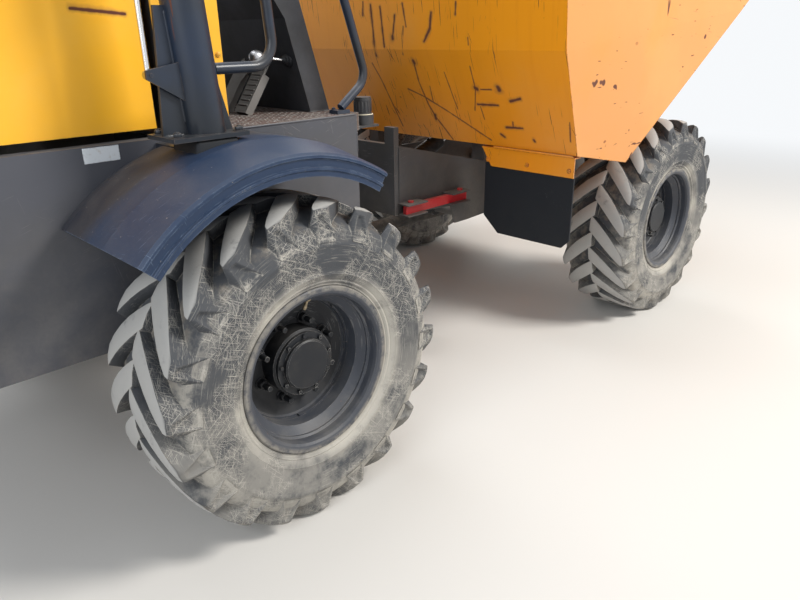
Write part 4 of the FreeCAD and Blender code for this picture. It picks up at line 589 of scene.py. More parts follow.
def wheelCoordinates(finish):
    # Distance from the nearer axle's line, the angle round it, and how far a face looks away from that line
    tree = finish.tree
    split = tree.nodes.new("ShaderNodeSeparateXYZ")
    wire(tree, finish.coords, split.inputs[0])
    tilt = tree.nodes.new("ShaderNodeSeparateXYZ")
    wire(tree, tree.nodes.new("ShaderNodeNewGeometry").outputs["Normal"], tilt.inputs[0])

    def product(first, second):
        return mathNode(tree, "MULTIPLY", first, second)

    front = mathNode(tree, "GREATER_THAN", split.outputs["X"], wheelCentres["between"])
    along = mathNode(tree, "SUBTRACT", split.outputs["X"], wheelCentres["rear"])
    along = mathNode(tree, "SUBTRACT", along, product(front, wheelCentres["gap"]))
    up = mathNode(tree, "SUBTRACT", split.outputs["Z"], wheelCentres["height"])
    reach = mathNode(tree, "SQRT", mathNode(tree, "ADD", product(along, along), product(up, up)))
    looks = mathNode(tree, "ADD", product(along, tilt.outputs["X"]), product(up, tilt.outputs["Z"]))
    polar = tree.nodes.new("ShaderNodeCombineXYZ")
    wire(tree, reach, polar.inputs[0])
    wire(tree, mathNode(tree, "ARCTAN2", along, up), polar.inputs[1])
    wire(tree, split.outputs["Y"], polar.inputs[2])
    sideways = mathNode(tree, "ABSOLUTE", tilt.outputs["Y"])
    return reach, polar.outputs[0], mathNode(tree, "DIVIDE", looks, reach), sideways


tyreScratches = [
    # stretch, turn, threshold, patch, tone
    ((14, 14, 620), (0, 35, 0), 0.625, 0.44, "tyreDust"),
    ((620, 14, 14), (0, 62, 12), 0.63, 0.44, "tyreDust"),
    ((14, 14, 560), (0, -24, 0), 0.635, 0.44, "tyreDust"),
    ((600, 14, 14), (0, 8, 0), 0.64, 0.44, "tyreDust"),
    ((14, 14, 640), (0, 74, 0), 0.635, 0.44, "tyreDust"),
    ((640, 14, 14), (0, 38, 0), 0.635, 0.44, "tyreDust"),
    ((9, 9, 300), (0, 52, 0), 0.665, 0.44, "tyreDust"),
    ((280, 9, 9), (0, -12, 0), 0.67, 0.44, "tyreDust"),
]


def makeTyreRubber():
    finish = Finish("tyreRubber", "rubber", 0.80)
    reach, polar, outward, sideways = wheelCoordinates(finish)
    tree = finish.tree

    def product(*masks):
        total = masks[0]
        for mask in masks[1:]:
            total = mathNode(tree, "MULTIPLY", total, mask)
        return total

    wall = finish.band(sideways, 0.45, 0.85)
    patch = finish.noise(16.0, 5.0, 0.65)
    broad = finish.noise(3.2, 3.0, 0.55)
    # dark between the lugs, pale on their worn tops
    finish.over(finish.band(finish.noise(9.0, 6.0, 0.65), 0.40, 0.66), "rubberDark", 0.72, 0.75)
    finish.over(wall, "rubberSide", 0.82, 0.8)
    muddy = product(finish.band(patch, 0.46, 0.66), finish.band(outward, 0.2, 0.9))
    finish.over(muddy, "mud", 0.9, 0.8)
    tops = product(finish.band(reach, 0.506, 0.520), finish.band(outward, 0.72, 0.92),
                   finish.band(patch, 0.10, 0.42))
    finish.over(tops, "rubberWorn", 0.9, 0.92)
    # pale dust round the rim and on the shoulder between the buttresses; the shoulder and wall marks are
    # stronger towards the bottom of the tyre
    ground = tree.nodes.new("ShaderNodeSeparateXYZ")
    wire(tree, finish.coords, ground.inputs[0])
    lowered = finish.band(ground.outputs["Z"], 0.98, 0.50)
    shoulder = product(finish.band(reach, 0.405, 0.432), finish.band(reach, 0.500, 0.470),
                       finish.band(outward, 0.15, 0.5), finish.band(patch, 0.34, 0.58))
    finish.over(product(shoulder, lowered), "tyreDust", 0.92, 0.70)
    low = product(finish.band(ground.outputs["Z"], 0.72, 0.30),
                  finish.band(finish.noise(7.0, 6.0, 0.7), 0.36, 0.58))
    finish.over(product(low, wall), "tyreDust", 0.92, 0.42)
    bead = product(finish.band(reach, 0.350, 0.300), finish.band(broad, 0.36, 0.60),
                   finish.band(patch, 0.14, 0.50))
    finish.over(bead, "tyreDust", 0.92, 0.95)
    specks = finish.band(finish.noise(34.0, 6.0, 0.72), 0.58, 0.70)
    finish.over(product(specks, wall), "tyreDust", 0.92, 0.16)
    around = mappedNode(tree, polar, (420.0, 5.0, 60.0))
    rubbed = finish.group(scratchGroup, Vector=around, Threshold=0.61, Patch=0.42)
    finish.over(product(rubbed, wall), "tyreDust", 0.9, 0.30)
    finish.scratched(tyreScratches, 0.9, 0.62, wall, Patch_Scale=6.0)
    finish.edged(0.0055, "tyreDust", 0.9, 0.62, Amount=1.0, Break_Scale=26.0)
    finish.raised(finish.noise(150.0, 5.0, 0.7), 0.8)
    finish.raised(finish.noise(26.0, 5.0, 0.65), 1.3)
    return finish.done(0.0012, 0.6)


rimDustPlaces = {"Low": 0.25, "High": 0.85, "Amount": 0.10, "Upward": 0.30, "Patch_Scale": 7.0}


def makeRimPaint():
    finish = Finish("rimPaint", "rim", 0.42)
    finish.shader.inputs["Specular IOR Level"].default_value = 0.35
    reach, polar, outward, sideways = wheelCoordinates(finish)
    tree = finish.tree
    finish.over(finish.band(reach, 0.208, 0.200), "rimDisc", 0.55)
    around = mappedNode(tree, polar, (240.0, 3.0, 120.0))
    rubbed = finish.group(scratchGroup, Vector=around, Threshold=0.60, Patch=0.46)
    finish.over(rubbed, "scratch", 0.5, 0.45)
    # dust gathers on the barrel's lower half, where it faces up, and round the lip
    finish.dusted(rimDustPlaces, "rimDust", 0.9, 0.8)
    lip = mathNode(tree, "MULTIPLY", finish.band(reach, 0.258, 0.272),
                   finish.band(finish.noise(24.0, 5.0, 0.7), 0.34, 0.60))
    finish.over(lip, "rimDust", 0.8, 0.9)
    finish.over(finish.band(finish.noise(36.0, 5.0, 0.75), 0.67, 0.74), "rustLight", 0.85, 0.8)
    finish.edged(0.003, "rimDust", 0.5, Amount=0.8)
    finish.raised(finish.noise(220.0, 3.0, 0.6), 1.0)
    finish.raised(finish.noise(14.0, 4.0, 0.6), 1.0)
    return finish.done(0.0007, 0.45)


guardDust = {"Low": 0.9, "High": 1.5, "Amount": 0.03, "Upward": 0.12, "Patch_Scale": 7.0}
guardScratches = [
    ((14, 420, 14), (12, 0, 25), 0.685, 0.52, "guardEdgeWearAndHighlight"),
    ((420, 12, 12), (0, 20, -18), 0.695, 0.52, "guardEdgeWearAndHighlight"),
]


def makeGuardPlastic():
    # painted reflection: the guard's dark base colour holds the blue of the sky's reflection
    finish = Finish("guardPlastic", "guardDarkAndSkyReflection", 0.46)
    split = finish.tree.nodes.new("ShaderNodeSeparateXYZ")
    wire(finish.tree, finish.coords, split.inputs[0])
    across = mathNode(finish.tree, "ABSOLUTE", split.outputs["Y"])
    waver = mathNode(finish.tree, "MULTIPLY", finish.noise(4.0, 5.0, 0.6), 0.22)
    # the inner half, behind the post, is brown with dust
    shifted = mathNode(finish.tree, "ADD", across, waver)
    finish.over(finish.band(shifted, 1.02, 0.92), "guardBrown", 0.62, 0.8)
    finish.dusted(guardDust, "dust", 0.8, 0.4)
    finish.scratched(guardScratches, 0.5, 0.7)
    finish.over(finish.band(finish.noise(95.0, 4.0, 0.7), 0.67, 0.71), "dust", 0.7, 0.5)
    # painted highlight: the lips are worn and are also painted a pale blue highlight
    finish.edged(0.005, "guardEdgeWearAndHighlight", 0.42, Amount=0.8, Break_Scale=16.0)
    finish.raised(finish.noise(480.0, 2.0, 0.5), 0.8)
    finish.shader.inputs["Specular IOR Level"].default_value = 0.35
    return finish.done(0.0006, 0.5)


def makePlastic(name, base, roughness, dust):
    finish = Finish(name, base, roughness)
    finish.shader.inputs["Specular IOR Level"].default_value = 0.3
    finish.dusted(dust, "dust", 0.85, 0.6)
    finish.scratched([((8, 160, 60), (15, 0, 20), 0.68, 0.52, "scratch")], 0.5, 0.5)
    finish.raised(finish.noise(520.0, 2.0, 0.5), 0.7)
    return finish.done(0.0006, 0.45)


def makeMetal(name, base, roughness, metallic, dust, wear=0.0, mud=0.35):
    finish = Finish(name, base, roughness, metallic)
    finish.shader.inputs["Specular IOR Level"].default_value = 0.5 if metallic else 0.3
    finish.over(finish.band(finish.noise(18.0, 5.0, 0.65), 0.48, 0.75), "mud", 0.85, mud)
    finish.dusted(dust, "dust", 0.9, 0.7)
    if wear:
        finish.edged(wear, "bareSteel", 0.45, Amount=0.9)
    finish.raised(finish.noise(240.0, 3.0, 0.6), 1.0)
    return finish.done(0.0006, 0.45)


vinylDust = {"Low": 1.4, "High": 2.2, "Amount": 0.15, "Upward": 0.35, "Patch_Scale": 9.0}


def makeVinyl():
    finish = Finish("seatVinyl", "black", 0.48)
    cell = finish.tree.nodes.new("ShaderNodeTexVoronoi")
    cell.inputs["Scale"].default_value = 620.0
    cell.feature = "DISTANCE_TO_EDGE"
    wire(finish.tree, finish.coords, cell.inputs["Vector"])
    finish.dusted(vinylDust, "dust", 0.8, 0.6)
    finish.raised(cell.outputs["Distance"], 3.0)
    finish.raised(finish.noise(60.0, 3.0, 0.5), 0.5)
    return finish.done(0.0005, 0.5)


def makeDeckPaint():
    finish = Finish("deckPaint", "deckBrown", 0.7)
    finish.over(finish.band(finish.noise(11.0, 6.0, 0.7), 0.42, 0.66), "rust", 0.85, 0.6)
    finish.over(finish.band(finish.noise(24.0, 5.0, 0.7), 0.45, 0.70), "mud", 0.9, 0.7)
    finish.edged(0.003, "bareSteel", 0.5, Amount=1.0, Break_Scale=60.0)
    finish.raised(finish.noise(160.0, 4.0, 0.65), 1.0)
    return finish.done(0.0008, 0.5)


lensDust = {"Low": 0.8, "High": 1.6, "Amount": 0.3, "Upward": 0.4, "Patch_Scale": 20.0}


def makeLens(name, tone):
    finish = Finish(name, tone, 0.18)
    ribs = finish.tree.nodes.new("ShaderNodeTexWave")
    ribs.bands_direction = "Y"
    ribs.inputs["Scale"].default_value = 60.0
    wire(finish.tree, finish.coords, ribs.inputs["Vector"])
    finish.dusted(lensDust, "dust", 0.7, 0.5)
    finish.raised(ribs.outputs["Fac"], 2.0)
    finish.shader.inputs["Coat Weight"].default_value = 0.6
    return finish.done(0.0010, 0.5)


lowDust = {"Low": 0.35, "High": 1.25, "Amount": 0.26, "Upward": 0.40, "Patch_Scale": 6.0}
highDust = {"Low": 1.1, "High": 1.9, "Amount": 0.07, "Upward": 0.24, "Patch_Scale": 5.0}
thinDust = {"Low": 0.35, "High": 1.25, "Amount": 0.07, "Upward": 0.20, "Patch_Scale": 8.0}
faintDust = {"Low": 0.30, "High": 1.10, "Amount": 0.02, "Upward": 0.10, "Patch_Scale": 9.0}
sideScratches = [
    # stretch, turn, threshold, patch, tone
    ((9, 9, 420), (0, 18, 0), 0.685, 0.50, "scratch"),
    ((420, 9, 9), (0, 12, 0), 0.695, 0.52, "scratch"),
    ((9, 9, 360), (0, -32, 0), 0.695, 0.52, "scratch"),
    ((6, 6, 120), (0, 4, 0), 0.735, 0.56, "dust"),
]
bodyScratches = [
    ((90, 4, 6), (0, 0, 0), 0.73, 0.55, "rust"),
    ((6, 4, 70), (0, 10, 0), 0.75, 0.56, "rustLight"),
]
postScratches = [
    ((5, 5, 60), (0, 0, 0), 0.70, 0.50, "rust"),
    ((60, 60, 4), (0, 0, 0), 0.665, 0.48, "rust"),
]
lockScratches = [((8, 8, 60), (0, 0, 0), 0.70, 0.45, "primer")]
slotFinish = {
    "chassis_paint": makePaint("chassisPaint", "chassis", "frontFrame", 0.50, lowDust, sideScratches,
                               0.004),
    "front_paint": makePaint("frontPaint", "frontFrame", "chassis", 0.55, lowDust, sideScratches, 0.004),
    "axle_paint": makeMetal("axleCasting", "axleIron", 0.65, 0.0, lowDust),
    "lamp_lens": makeLens("lampLens", "lens"),
    "engine_iron": makeMetal("engineCasting", "engineIron", 0.6, 0.0, lowDust),
    "deck_paint": makeDeckPaint(),
    "body_yellow": makePaint("bonnetPaint", "yellow", "yellowFaded", 0.34, highDust, bodyScratches, 0.003,
                             0.15, [bonnetScrape]),
    "inner_black": makePaint("innerPaint", "black", "chassis", 0.55, highDust, [], 0.002),
    "seat_vinyl": makeVinyl(),
    "grip_black": makePlastic("gripPlastic", "black", 0.5, highDust),
    "pedal_steel": makeMetal("pedalSteel", "pedalSteel", 0.5, 0.85, highDust, 0.002),
    # painted reflection: the roll frame's and rails' faded patches take the guard's tone with its painted
    # sky blue
    "rops_black": makePaint("rollFramePaint", "blueBlack", "guardDarkAndSkyReflection", 0.36, faintDust, postScratches, 0.003),
    "rail_black": makePaint("railPaint", "blueBlack", "guardDarkAndSkyReflection", 0.34, highDust, [], 0.002),
    "fender_plastic": makeGuardPlastic(),
    "lock_red": makePaint("lockPaint", "red", "red", 0.4, lowDust, lockScratches, 0.002),
    "skip_yellow": makeSkipPaint(),
    "flap_rubber": makePlastic("flapRubber", "black", 0.62, faintDust),
    "ram_black": makeMetal("ramPaint", "black", 0.45, 0.0, thinDust, 0.002, 0.2),
    "rod_chrome": makeMetal("rodChrome", "chrome", 0.16, 1.0, highDust),
    "tyre_rubber": makeTyreRubber(),
    "rim_paint": makeRimPaint(),
    "hub_black": makeMetal("hubPaint", "black", 0.42, 0.0, faintDust, 0.002, 0.05),
}
print("finishes ready")


def dressNodes():
    # Every node of the frame takes the finish of its slot
    slots = {row["node"]: row["material_slot"] for row in frame["record"]["subparts"]}
    for name, node in frame["nodes"].items():
        for place in node.material_slots:
            place.material = slotFinish[slots[name]]


dressNodes()


# Modelling helpers
def activate(piece):
    deselectAll()
    piece.select_set(True)
    bpy.context.view_layer.objects.active = piece


def settle(piece, name=None):
    # The place goes into the mesh, so that the object sits at the origin
    activate(piece)
    bpy.ops.object.transform_apply(location=True, rotation=True, scale=True)
    if name:
        piece.name = name
        piece.data.name = name
    return piece


def applyModifiers(piece):
    activate(piece)
    for modifier in list(piece.modifiers):
        bpy.ops.object.modifier_apply(modifier=modifier.name)
    return piece


def bevelled(piece, width, segments=2, angle=40):
    modifier = piece.modifiers.new("edge", "BEVEL")
    modifier.width = width
    modifier.segments = segments
    modifier.limit_method = "ANGLE"
    modifier.angle_limit = math.radians(angle)
    return applyModifiers(piece)


def smoothed(piece, angle=35):
    activate(piece)
    bpy.ops.object.shade_smooth_by_angle(angle=math.radians(angle))
    return piece


def tidyNormals(piece, distance=0.00002):
    activate(piece)
    bpy.ops.object.mode_set(mode="EDIT")
    bpy.ops.mesh.select_all(action="SELECT")
    bpy.ops.mesh.remove_doubles(threshold=distance)
    bpy.ops.mesh.normals_make_consistent(inside=False)
    bpy.ops.object.mode_set(mode="OBJECT")
    return piece


def addPart(name, body, slot, piece, material=None):
    settle(piece, name)
    piece.data.materials.clear()
    piece.data.materials.append(material or slotFinish[slot])
    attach(piece, body)
    return piece


def joined(pieces, name):
    deselectAll()
    for piece in pieces:
        piece.select_set(True)
    bpy.context.view_layer.objects.active = pieces[0]
    if len(pieces) > 1:
        bpy.ops.object.join()
    return settle(pieces[0], name)


def copied(piece, matrix):
    twin = piece.copy()
    twin.data = piece.data.copy()
    bpy.context.scene.collection.objects.link(twin)
    twin.data.transform(matrix)
    if matrix.determinant() < 0:
        twin.data.flip_normals()
    return twin


def cylinder(radius, depth, place, axis="Z", sides=24):
    deselectAll()
    bpy.ops.mesh.primitive_cylinder_add(vertices=sides, radius=radius, depth=depth, location=place)
    quarter = math.pi / 2
    bpy.context.object.rotation_euler = {"X": (0, quarter, 0), "Y": (quarter, 0, 0), "Z": (0, 0, 0)}[axis]
    return settle(bpy.context.object)


def discarded(piece, pieces):
    # The master goes once its copies are made
    bpy.data.objects.remove(piece)
    return pieces


def mirroredTo(side, piece):
    piece.data.transform(Matrix.Scale(side, 4, (0, 1, 0)))
    return tidyNormals(piece)


def slab(low, high):
    deselectAll()
    size = [b - a for a, b in zip(low, high)]
    middle = [(a + b) / 2 for a, b in zip(low, high)]
    bpy.ops.mesh.primitive_cube_add(size=1, location=middle)
    bpy.context.object.scale = size
    return settle(bpy.context.object)


def spunProfile(points, steps, axis=(0, 1, 0)):
    # A closed outline of (radius, along) points, turned once round the axis
    deselectAll()
    bpy.ops.mesh.primitive_circle_add(vertices=len(points), radius=1)
    piece = bpy.context.object
    for vertex, (radius, along) in zip(piece.data.vertices, points):
        vertex.co = (radius, along, 0) if axis[1] else (radius, 0, along)
    bpy.ops.object.mode_set(mode="EDIT")
    bpy.ops.mesh.select_all(action="SELECT")
    bpy.ops.mesh.spin(steps=steps, angle=math.tau, center=(0, 0, 0), axis=axis)
    bpy.ops.object.mode_set(mode="OBJECT")
    return tidyNormals(piece)


def extrudedThrough(rings):
    # The first ring is a filled outline, and each later one is its face extruded onward
    deselectAll()
    bpy.ops.mesh.primitive_circle_add(vertices=len(rings[0]), radius=1, fill_type="NGON")
    piece = bpy.context.object
    for vertex, place in zip(piece.data.vertices, rings[0]):
        vertex.co = place
    bpy.ops.object.mode_set(mode="EDIT")
    bpy.ops.mesh.select_all(action="SELECT")
    before = [Vector(place) for place in rings[0]]
    for ring in rings[1:]:
        bpy.ops.mesh.extrude_region_move()
        mesh = bmesh.from_edit_mesh(piece.data)
        for vertex in [v for v in mesh.verts if v.select]:
            nearest = min(range(len(ring)), key=lambda index: (vertex.co - before[index]).length)
            vertex.co = ring[nearest]
        bmesh.update_edit_mesh(piece.data)
        before = [Vector(place) for place in ring]
    bpy.ops.object.mode_set(mode="OBJECT")
    return tidyNormals(piece)


# Wheels: the right rear one shows most, and all four are alike
wheelPlaces = {
    # body: centre and side
    "wheel_front_left": ((1.310, 0.916, 0.535), 1),
    "wheel_front_right": ((1.310, -0.916, 0.535), -1),
    "wheel_rear_left": ((-1.160, 0.916, 0.535), 1),
    "wheel_rear_right": ((-1.160, -0.916, 0.535), -1),
}
tyreShape = {
    "steps": 160,
    "lugs": 20,
    "phase": {1: 4.8, -1: 13.8},
    "outerHalf": [
        # radius, distance from the wheel's middle
        (0.2546, 0.1684), (0.2806, 0.1684), (0.2835, 0.1722), (0.2880, 0.1716), (0.2915, 0.1756),
        (0.2960, 0.1790), (0.3010, 0.1782), (0.3060, 0.1832), (0.3180, 0.1880), (0.3220, 0.1902),
        (0.3250, 0.1890), (0.3420, 0.1930), (0.3700, 0.1982), (0.3960, 0.2010), (0.4080, 0.2012),
        (0.4110, 0.2025), (0.4180, 0.2025), (0.4215, 0.2006), (0.4480, 0.1942), (0.4700, 0.1815),
        (0.4840, 0.1500), (0.4920, 0.1050), (0.4985, 0.0550), (0.5008, 0.0150),
    ],
    "hollow": [(0.4700, 0.1300), (0.4560, 0.1520), (0.4250, 0.1700), (0.3800, 0.1740), (0.3000, 0.1560),
               (0.2546, 0.1444)],
    "lugPath": [
        # distance from the middle, lag, half angle and radius, of the lug's top and then of its foot
        ((-0.010, -0.9, 4.3, 0.5335), (-0.010, -0.9, 4.9, 0.4985)),
        ((0.012, 0.9, 4.6, 0.5345), (0.012, 0.9, 5.1, 0.4985)),
        ((0.045, 3.9, 4.8, 0.5345), (0.045, 3.9, 5.4, 0.4970)),
        ((0.080, 7.3, 4.9, 0.5340), (0.080, 7.3, 5.5, 0.4935)),
        ((0.112, 10.8, 4.8, 0.5325), (0.112, 10.8, 5.5, 0.4890)),
        ((0.142, 14.4, 4.5, 0.5300), (0.142, 14.4, 5.4, 0.4830)),
        ((0.166, 17.5, 3.9, 0.5265), (0.166, 17.5, 5.3, 0.4750)),
        ((0.1800, 19.3, 2.8, 0.5205), (0.1800, 19.2, 5.2, 0.4685)),
        ((0.1890, 19.6, 1.5, 0.5075), (0.2030, 17.8, 4.9, 0.4250)),
    ],
    "crown": 0.0022,
    "window": (0.0098, 0.0100),
}


def wheelPoint(radius, degrees, across):
    angle = math.radians(degrees)
    return Vector((radius * math.sin(angle), across, radius * math.cos(angle)))


def sunkEnd(piece, place, thickness, depth):
    # The face nearest the place is drawn in and sunk
    activate(piece)
    bpy.ops.object.mode_set(mode="EDIT")
    bpy.ops.mesh.select_mode(type="FACE")
    bpy.ops.mesh.select_all(action="DESELECT")
    mesh = bmesh.from_edit_mesh(piece.data)
    min(mesh.faces, key=lambda face: (face.calc_center_median() - place).length).select_set(True)
    bmesh.update_edit_mesh(piece.data)
    bpy.ops.mesh.inset(thickness=thickness, depth=-depth)
    bpy.ops.mesh.select_mode(type="VERT")
    bpy.ops.object.mode_set(mode="OBJECT")
    return piece


def makeLug(shape):
    # Runs back from the tread's middle and ends on the sidewall in a buttress with a sunk window
    rings = []
    for (across, lag, half, top), (footAcross, footLag, footHalf, foot) in shape["lugPath"]:
        rings.append([
            wheelPoint(foot, -footLag - footHalf, footAcross), wheelPoint(top, -lag - half, across),
            wheelPoint(top + shape["crown"], -lag, across),
            wheelPoint(top, -lag + half, across), wheelPoint(foot, -footLag + footHalf, footAcross)])
    lug = extrudedThrough(rings)
    lug = sunkEnd(lug, sum(rings[-1], Vector()) / 5, *shape["window"])
    return bevelled(lug, 0.0032, 2, 24)


def makeTyre(shape):
    outer = shape["outerHalf"] + [(radius, -across) for radius, across in reversed(shape["outerHalf"])]
    inner = [(radius, -across) for radius, across in reversed(shape["hollow"])] + shape["hollow"]
    pieces = [spunProfile(outer + inner, shape["steps"])]
    lug = makeLug(shape)
    for number in range(shape["lugs"]):
        for side, phase in shape["phase"].items():
            turn = Matrix.Rotation(math.radians(number * 360 / shape["lugs"] + phase), 4, "Y")
            pieces.append(copied(lug, turn @ Matrix.Scale(side, 4, (0, 1, 0))))
    bpy.data.objects.remove(lug)
    return smoothed(joined(pieces, "tyreMaster"), 38)


nutShape = {
    # radius, depth and place along the axle, and then the ring that they stand on
    "nut": (0.0165, 0.017, 0.0),
    "washer": (0.021, 0.004, -0.0105),
    "stud": (0.0095, 0.052, 0.016),
    "count": 8,
    "turn": 0.5,
    "circle": 0.1375,
    "across": 0.0335,
}
capBolts = {"head": (0.0075, 0.008), "count": 9, "turn": 0.0, "circle": 0.0965, "across": 0.1005}
valveShape = {
    # radius, length, place and sides of each turned piece
    "stem": (0.0055, 0.036, 0.0, 16),
    "cap": (0.0068, 0.014, -0.022, 12),
    "base": (0.0105, 0.008, 0.017, 16),
    "place": (0, 0.125, 0.222),
    "lean": -28,
}


def ringed(master, shape):
    # Copies round the wheel's axis
    pieces = []
    for number in range(shape["count"]):
        angle = math.tau * (number + shape["turn"]) / shape["count"]
        circle = shape["circle"]
        place = (circle * math.sin(angle), shape["across"], circle * math.cos(angle))
        pieces.append(copied(master, Matrix.Translation(place)))
    return discarded(master, pieces)


def makeWheelFittings():
    # Studs with their nuts, and the bolts of the hub's cap
    radius, depth, along = nutShape["nut"]
    nut = bevelled(cylinder(radius, depth, (0, along, 0), "Y", 6), 0.0018, 2)
    radius, depth, along = nutShape["washer"]
    washer = bevelled(cylinder(radius, depth, (0, along, 0), "Y", 28), 0.001, 1)
    radius, depth, along = nutShape["stud"]
    stud = bevelled(cylinder(radius, depth, (0, along, 0), "Y", 16), 0.0015, 1)
    pieces = ringed(joined([nut, washer, stud], "nutMaster"), nutShape)
    radius, depth = capBolts["head"]
    head = bevelled(cylinder(radius, depth, (0, 0, 0), "Y", 6), 0.001, 1)
    return smoothed(joined(pieces + ringed(head, capBolts), "fittingsMaster"), 35)


def makeValve():
    pieces = []
    for part, edge, segments in (("stem", 0.001, 1), ("cap", 0.001, 1), ("base", 0.002, 2)):
        radius, length, along, sides = valveShape[part]
        pieces.append(bevelled(cylinder(radius, length, (0, 0, along), "Z", sides), edge, segments))
    valve = joined(pieces, "valveMaster")
    lean = Matrix.Rotation(math.radians(valveShape["lean"]), 4, "X")
    valve.data.transform(Matrix.Translation(valveShape["place"]) @ lean)
    return smoothed(valve, 35)


def makeWheels():
    tyre = makeTyre(tyreShape)
    fittings = makeWheelFittings()
    valve = makeValve()
    valveMaterial = makeMetal("valveBrass", "brass", 0.4, 0.9, lowDust)
    for body, (centre, side) in wheelPlaces.items():
        place = Matrix.Translation(centre) @ Matrix.Scale(side, 4, (0, 1, 0))
        corner = body.replace("wheel_", "")
        piece = addPart(f"treadedTyre_{corner}", body, "tyre_rubber", copied(tyre, place))
        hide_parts(f"tyre_{corner}")
        addPart(f"wheelNuts_{corner}", body, "hub_black", copied(fittings, place))
        addPart(f"valve_{corner}", body, "rim_paint", copied(valve, place), valveMaterial)
    for master in (tyre, fittings, valve):
        bpy.data.objects.remove(master)


makeWheels()
print("wheels ready")

# Fixings, seams and small fittings
def facing(place, direction, spin=0.0):
    turn = Vector((0, 0, 1)).rotation_difference(Vector(direction)).to_matrix().to_4x4()
    return Matrix.Translation(place) @ turn @ Matrix.Rotation(math.radians(spin), 4, "Z")


boltShape = {
    # shares of the head's radius and height, and the washer's thickness
    "washer": 1.4,
    "washerThick": 0.0022,
    "headFoot": 0.0018,
    "tip": 0.52,
    "tipHeight": 0.5,
}


def boltMaster(radius, height):
    # A hexagon head between its washer and the bolt's end
    shape = boltShape
    head = cylinder(radius, height, (0, 0, height / 2 + shape["headFoot"]), "Z", 6)
    washer = cylinder(radius * shape["washer"], shape["washerThick"], (0, 0, 0.0009), "Z", 24)
    top = (0, 0, height * 1.1 + 0.001)
    tip = cylinder(radius * shape["tip"], height * shape["tipHeight"], top, "Z", 14)
    return joined([bevelled(head, radius * 0.14, 2), bevelled(washer, 0.0006, 1),
                   bevelled(tip, radius * 0.08, 1)], "boltMaster")


def addBolts(name, body, slot, radius, height, places, material=None):
    # One bolt at each place, standing out along its direction
    master = boltMaster(radius, height)
    pieces = [copied(master, facing(place, direction, 17 * number))
              for number, (place, direction) in enumerate(places)]
    bpy.data.objects.remove(master)
    return addPart(name, body, slot, smoothed(joined(pieces, name), 35), material)


weldShape = {"step": 0.0032, "pitch": 0.0072, "ripple": 0.16, "height": 0.7}


def weldSeam(start, end, width, out):
    # A rippled bead: a grid folded into a half round, drawn to a point at each end
    start, end, out = Vector(start), Vector(end), Vector(out).normalized()
    run = end - start
    across = run.normalized().cross(out)
    deselectAll()
    steps = max(8, int(run.length / weldShape["step"]))
    bpy.ops.mesh.primitive_grid_add(x_subdivisions=steps, y_subdivisions=6, size=1)
    piece = bpy.context.object
    for vertex in piece.data.vertices:
        share, turn = vertex.co.x + 0.5, (vertex.co.y + 0.5) * math.pi
        near = min(share, 1 - share) * run.length
        wave = weldShape["ripple"] * math.sin(share * run.length / weldShape["pitch"] * math.tau)
        reach = width * (1 + wave + random.uniform(-0.05, 0.05)) * min(1.0, near / width)
        lift = out * (math.sin(turn) * reach * weldShape["height"])
        vertex.co = start + run * share + across * (math.cos(turn) * reach) + lift
    return piece


def addWelds(name, body, slot, width, seams):
    pieces = [weldSeam(start, end, width, out) for start, end, out in seams]
    return addPart(name, body, slot, smoothed(tidyNormals(joined(pieces, name)), 60))


def mirrored(rows):
    # The same rows on both sides: every point and direction also with its y turned round
    both = []
    for row in rows:
        both.append(row)
        both.append(tuple((x, -y, z) for x, y, z in row))
    return both


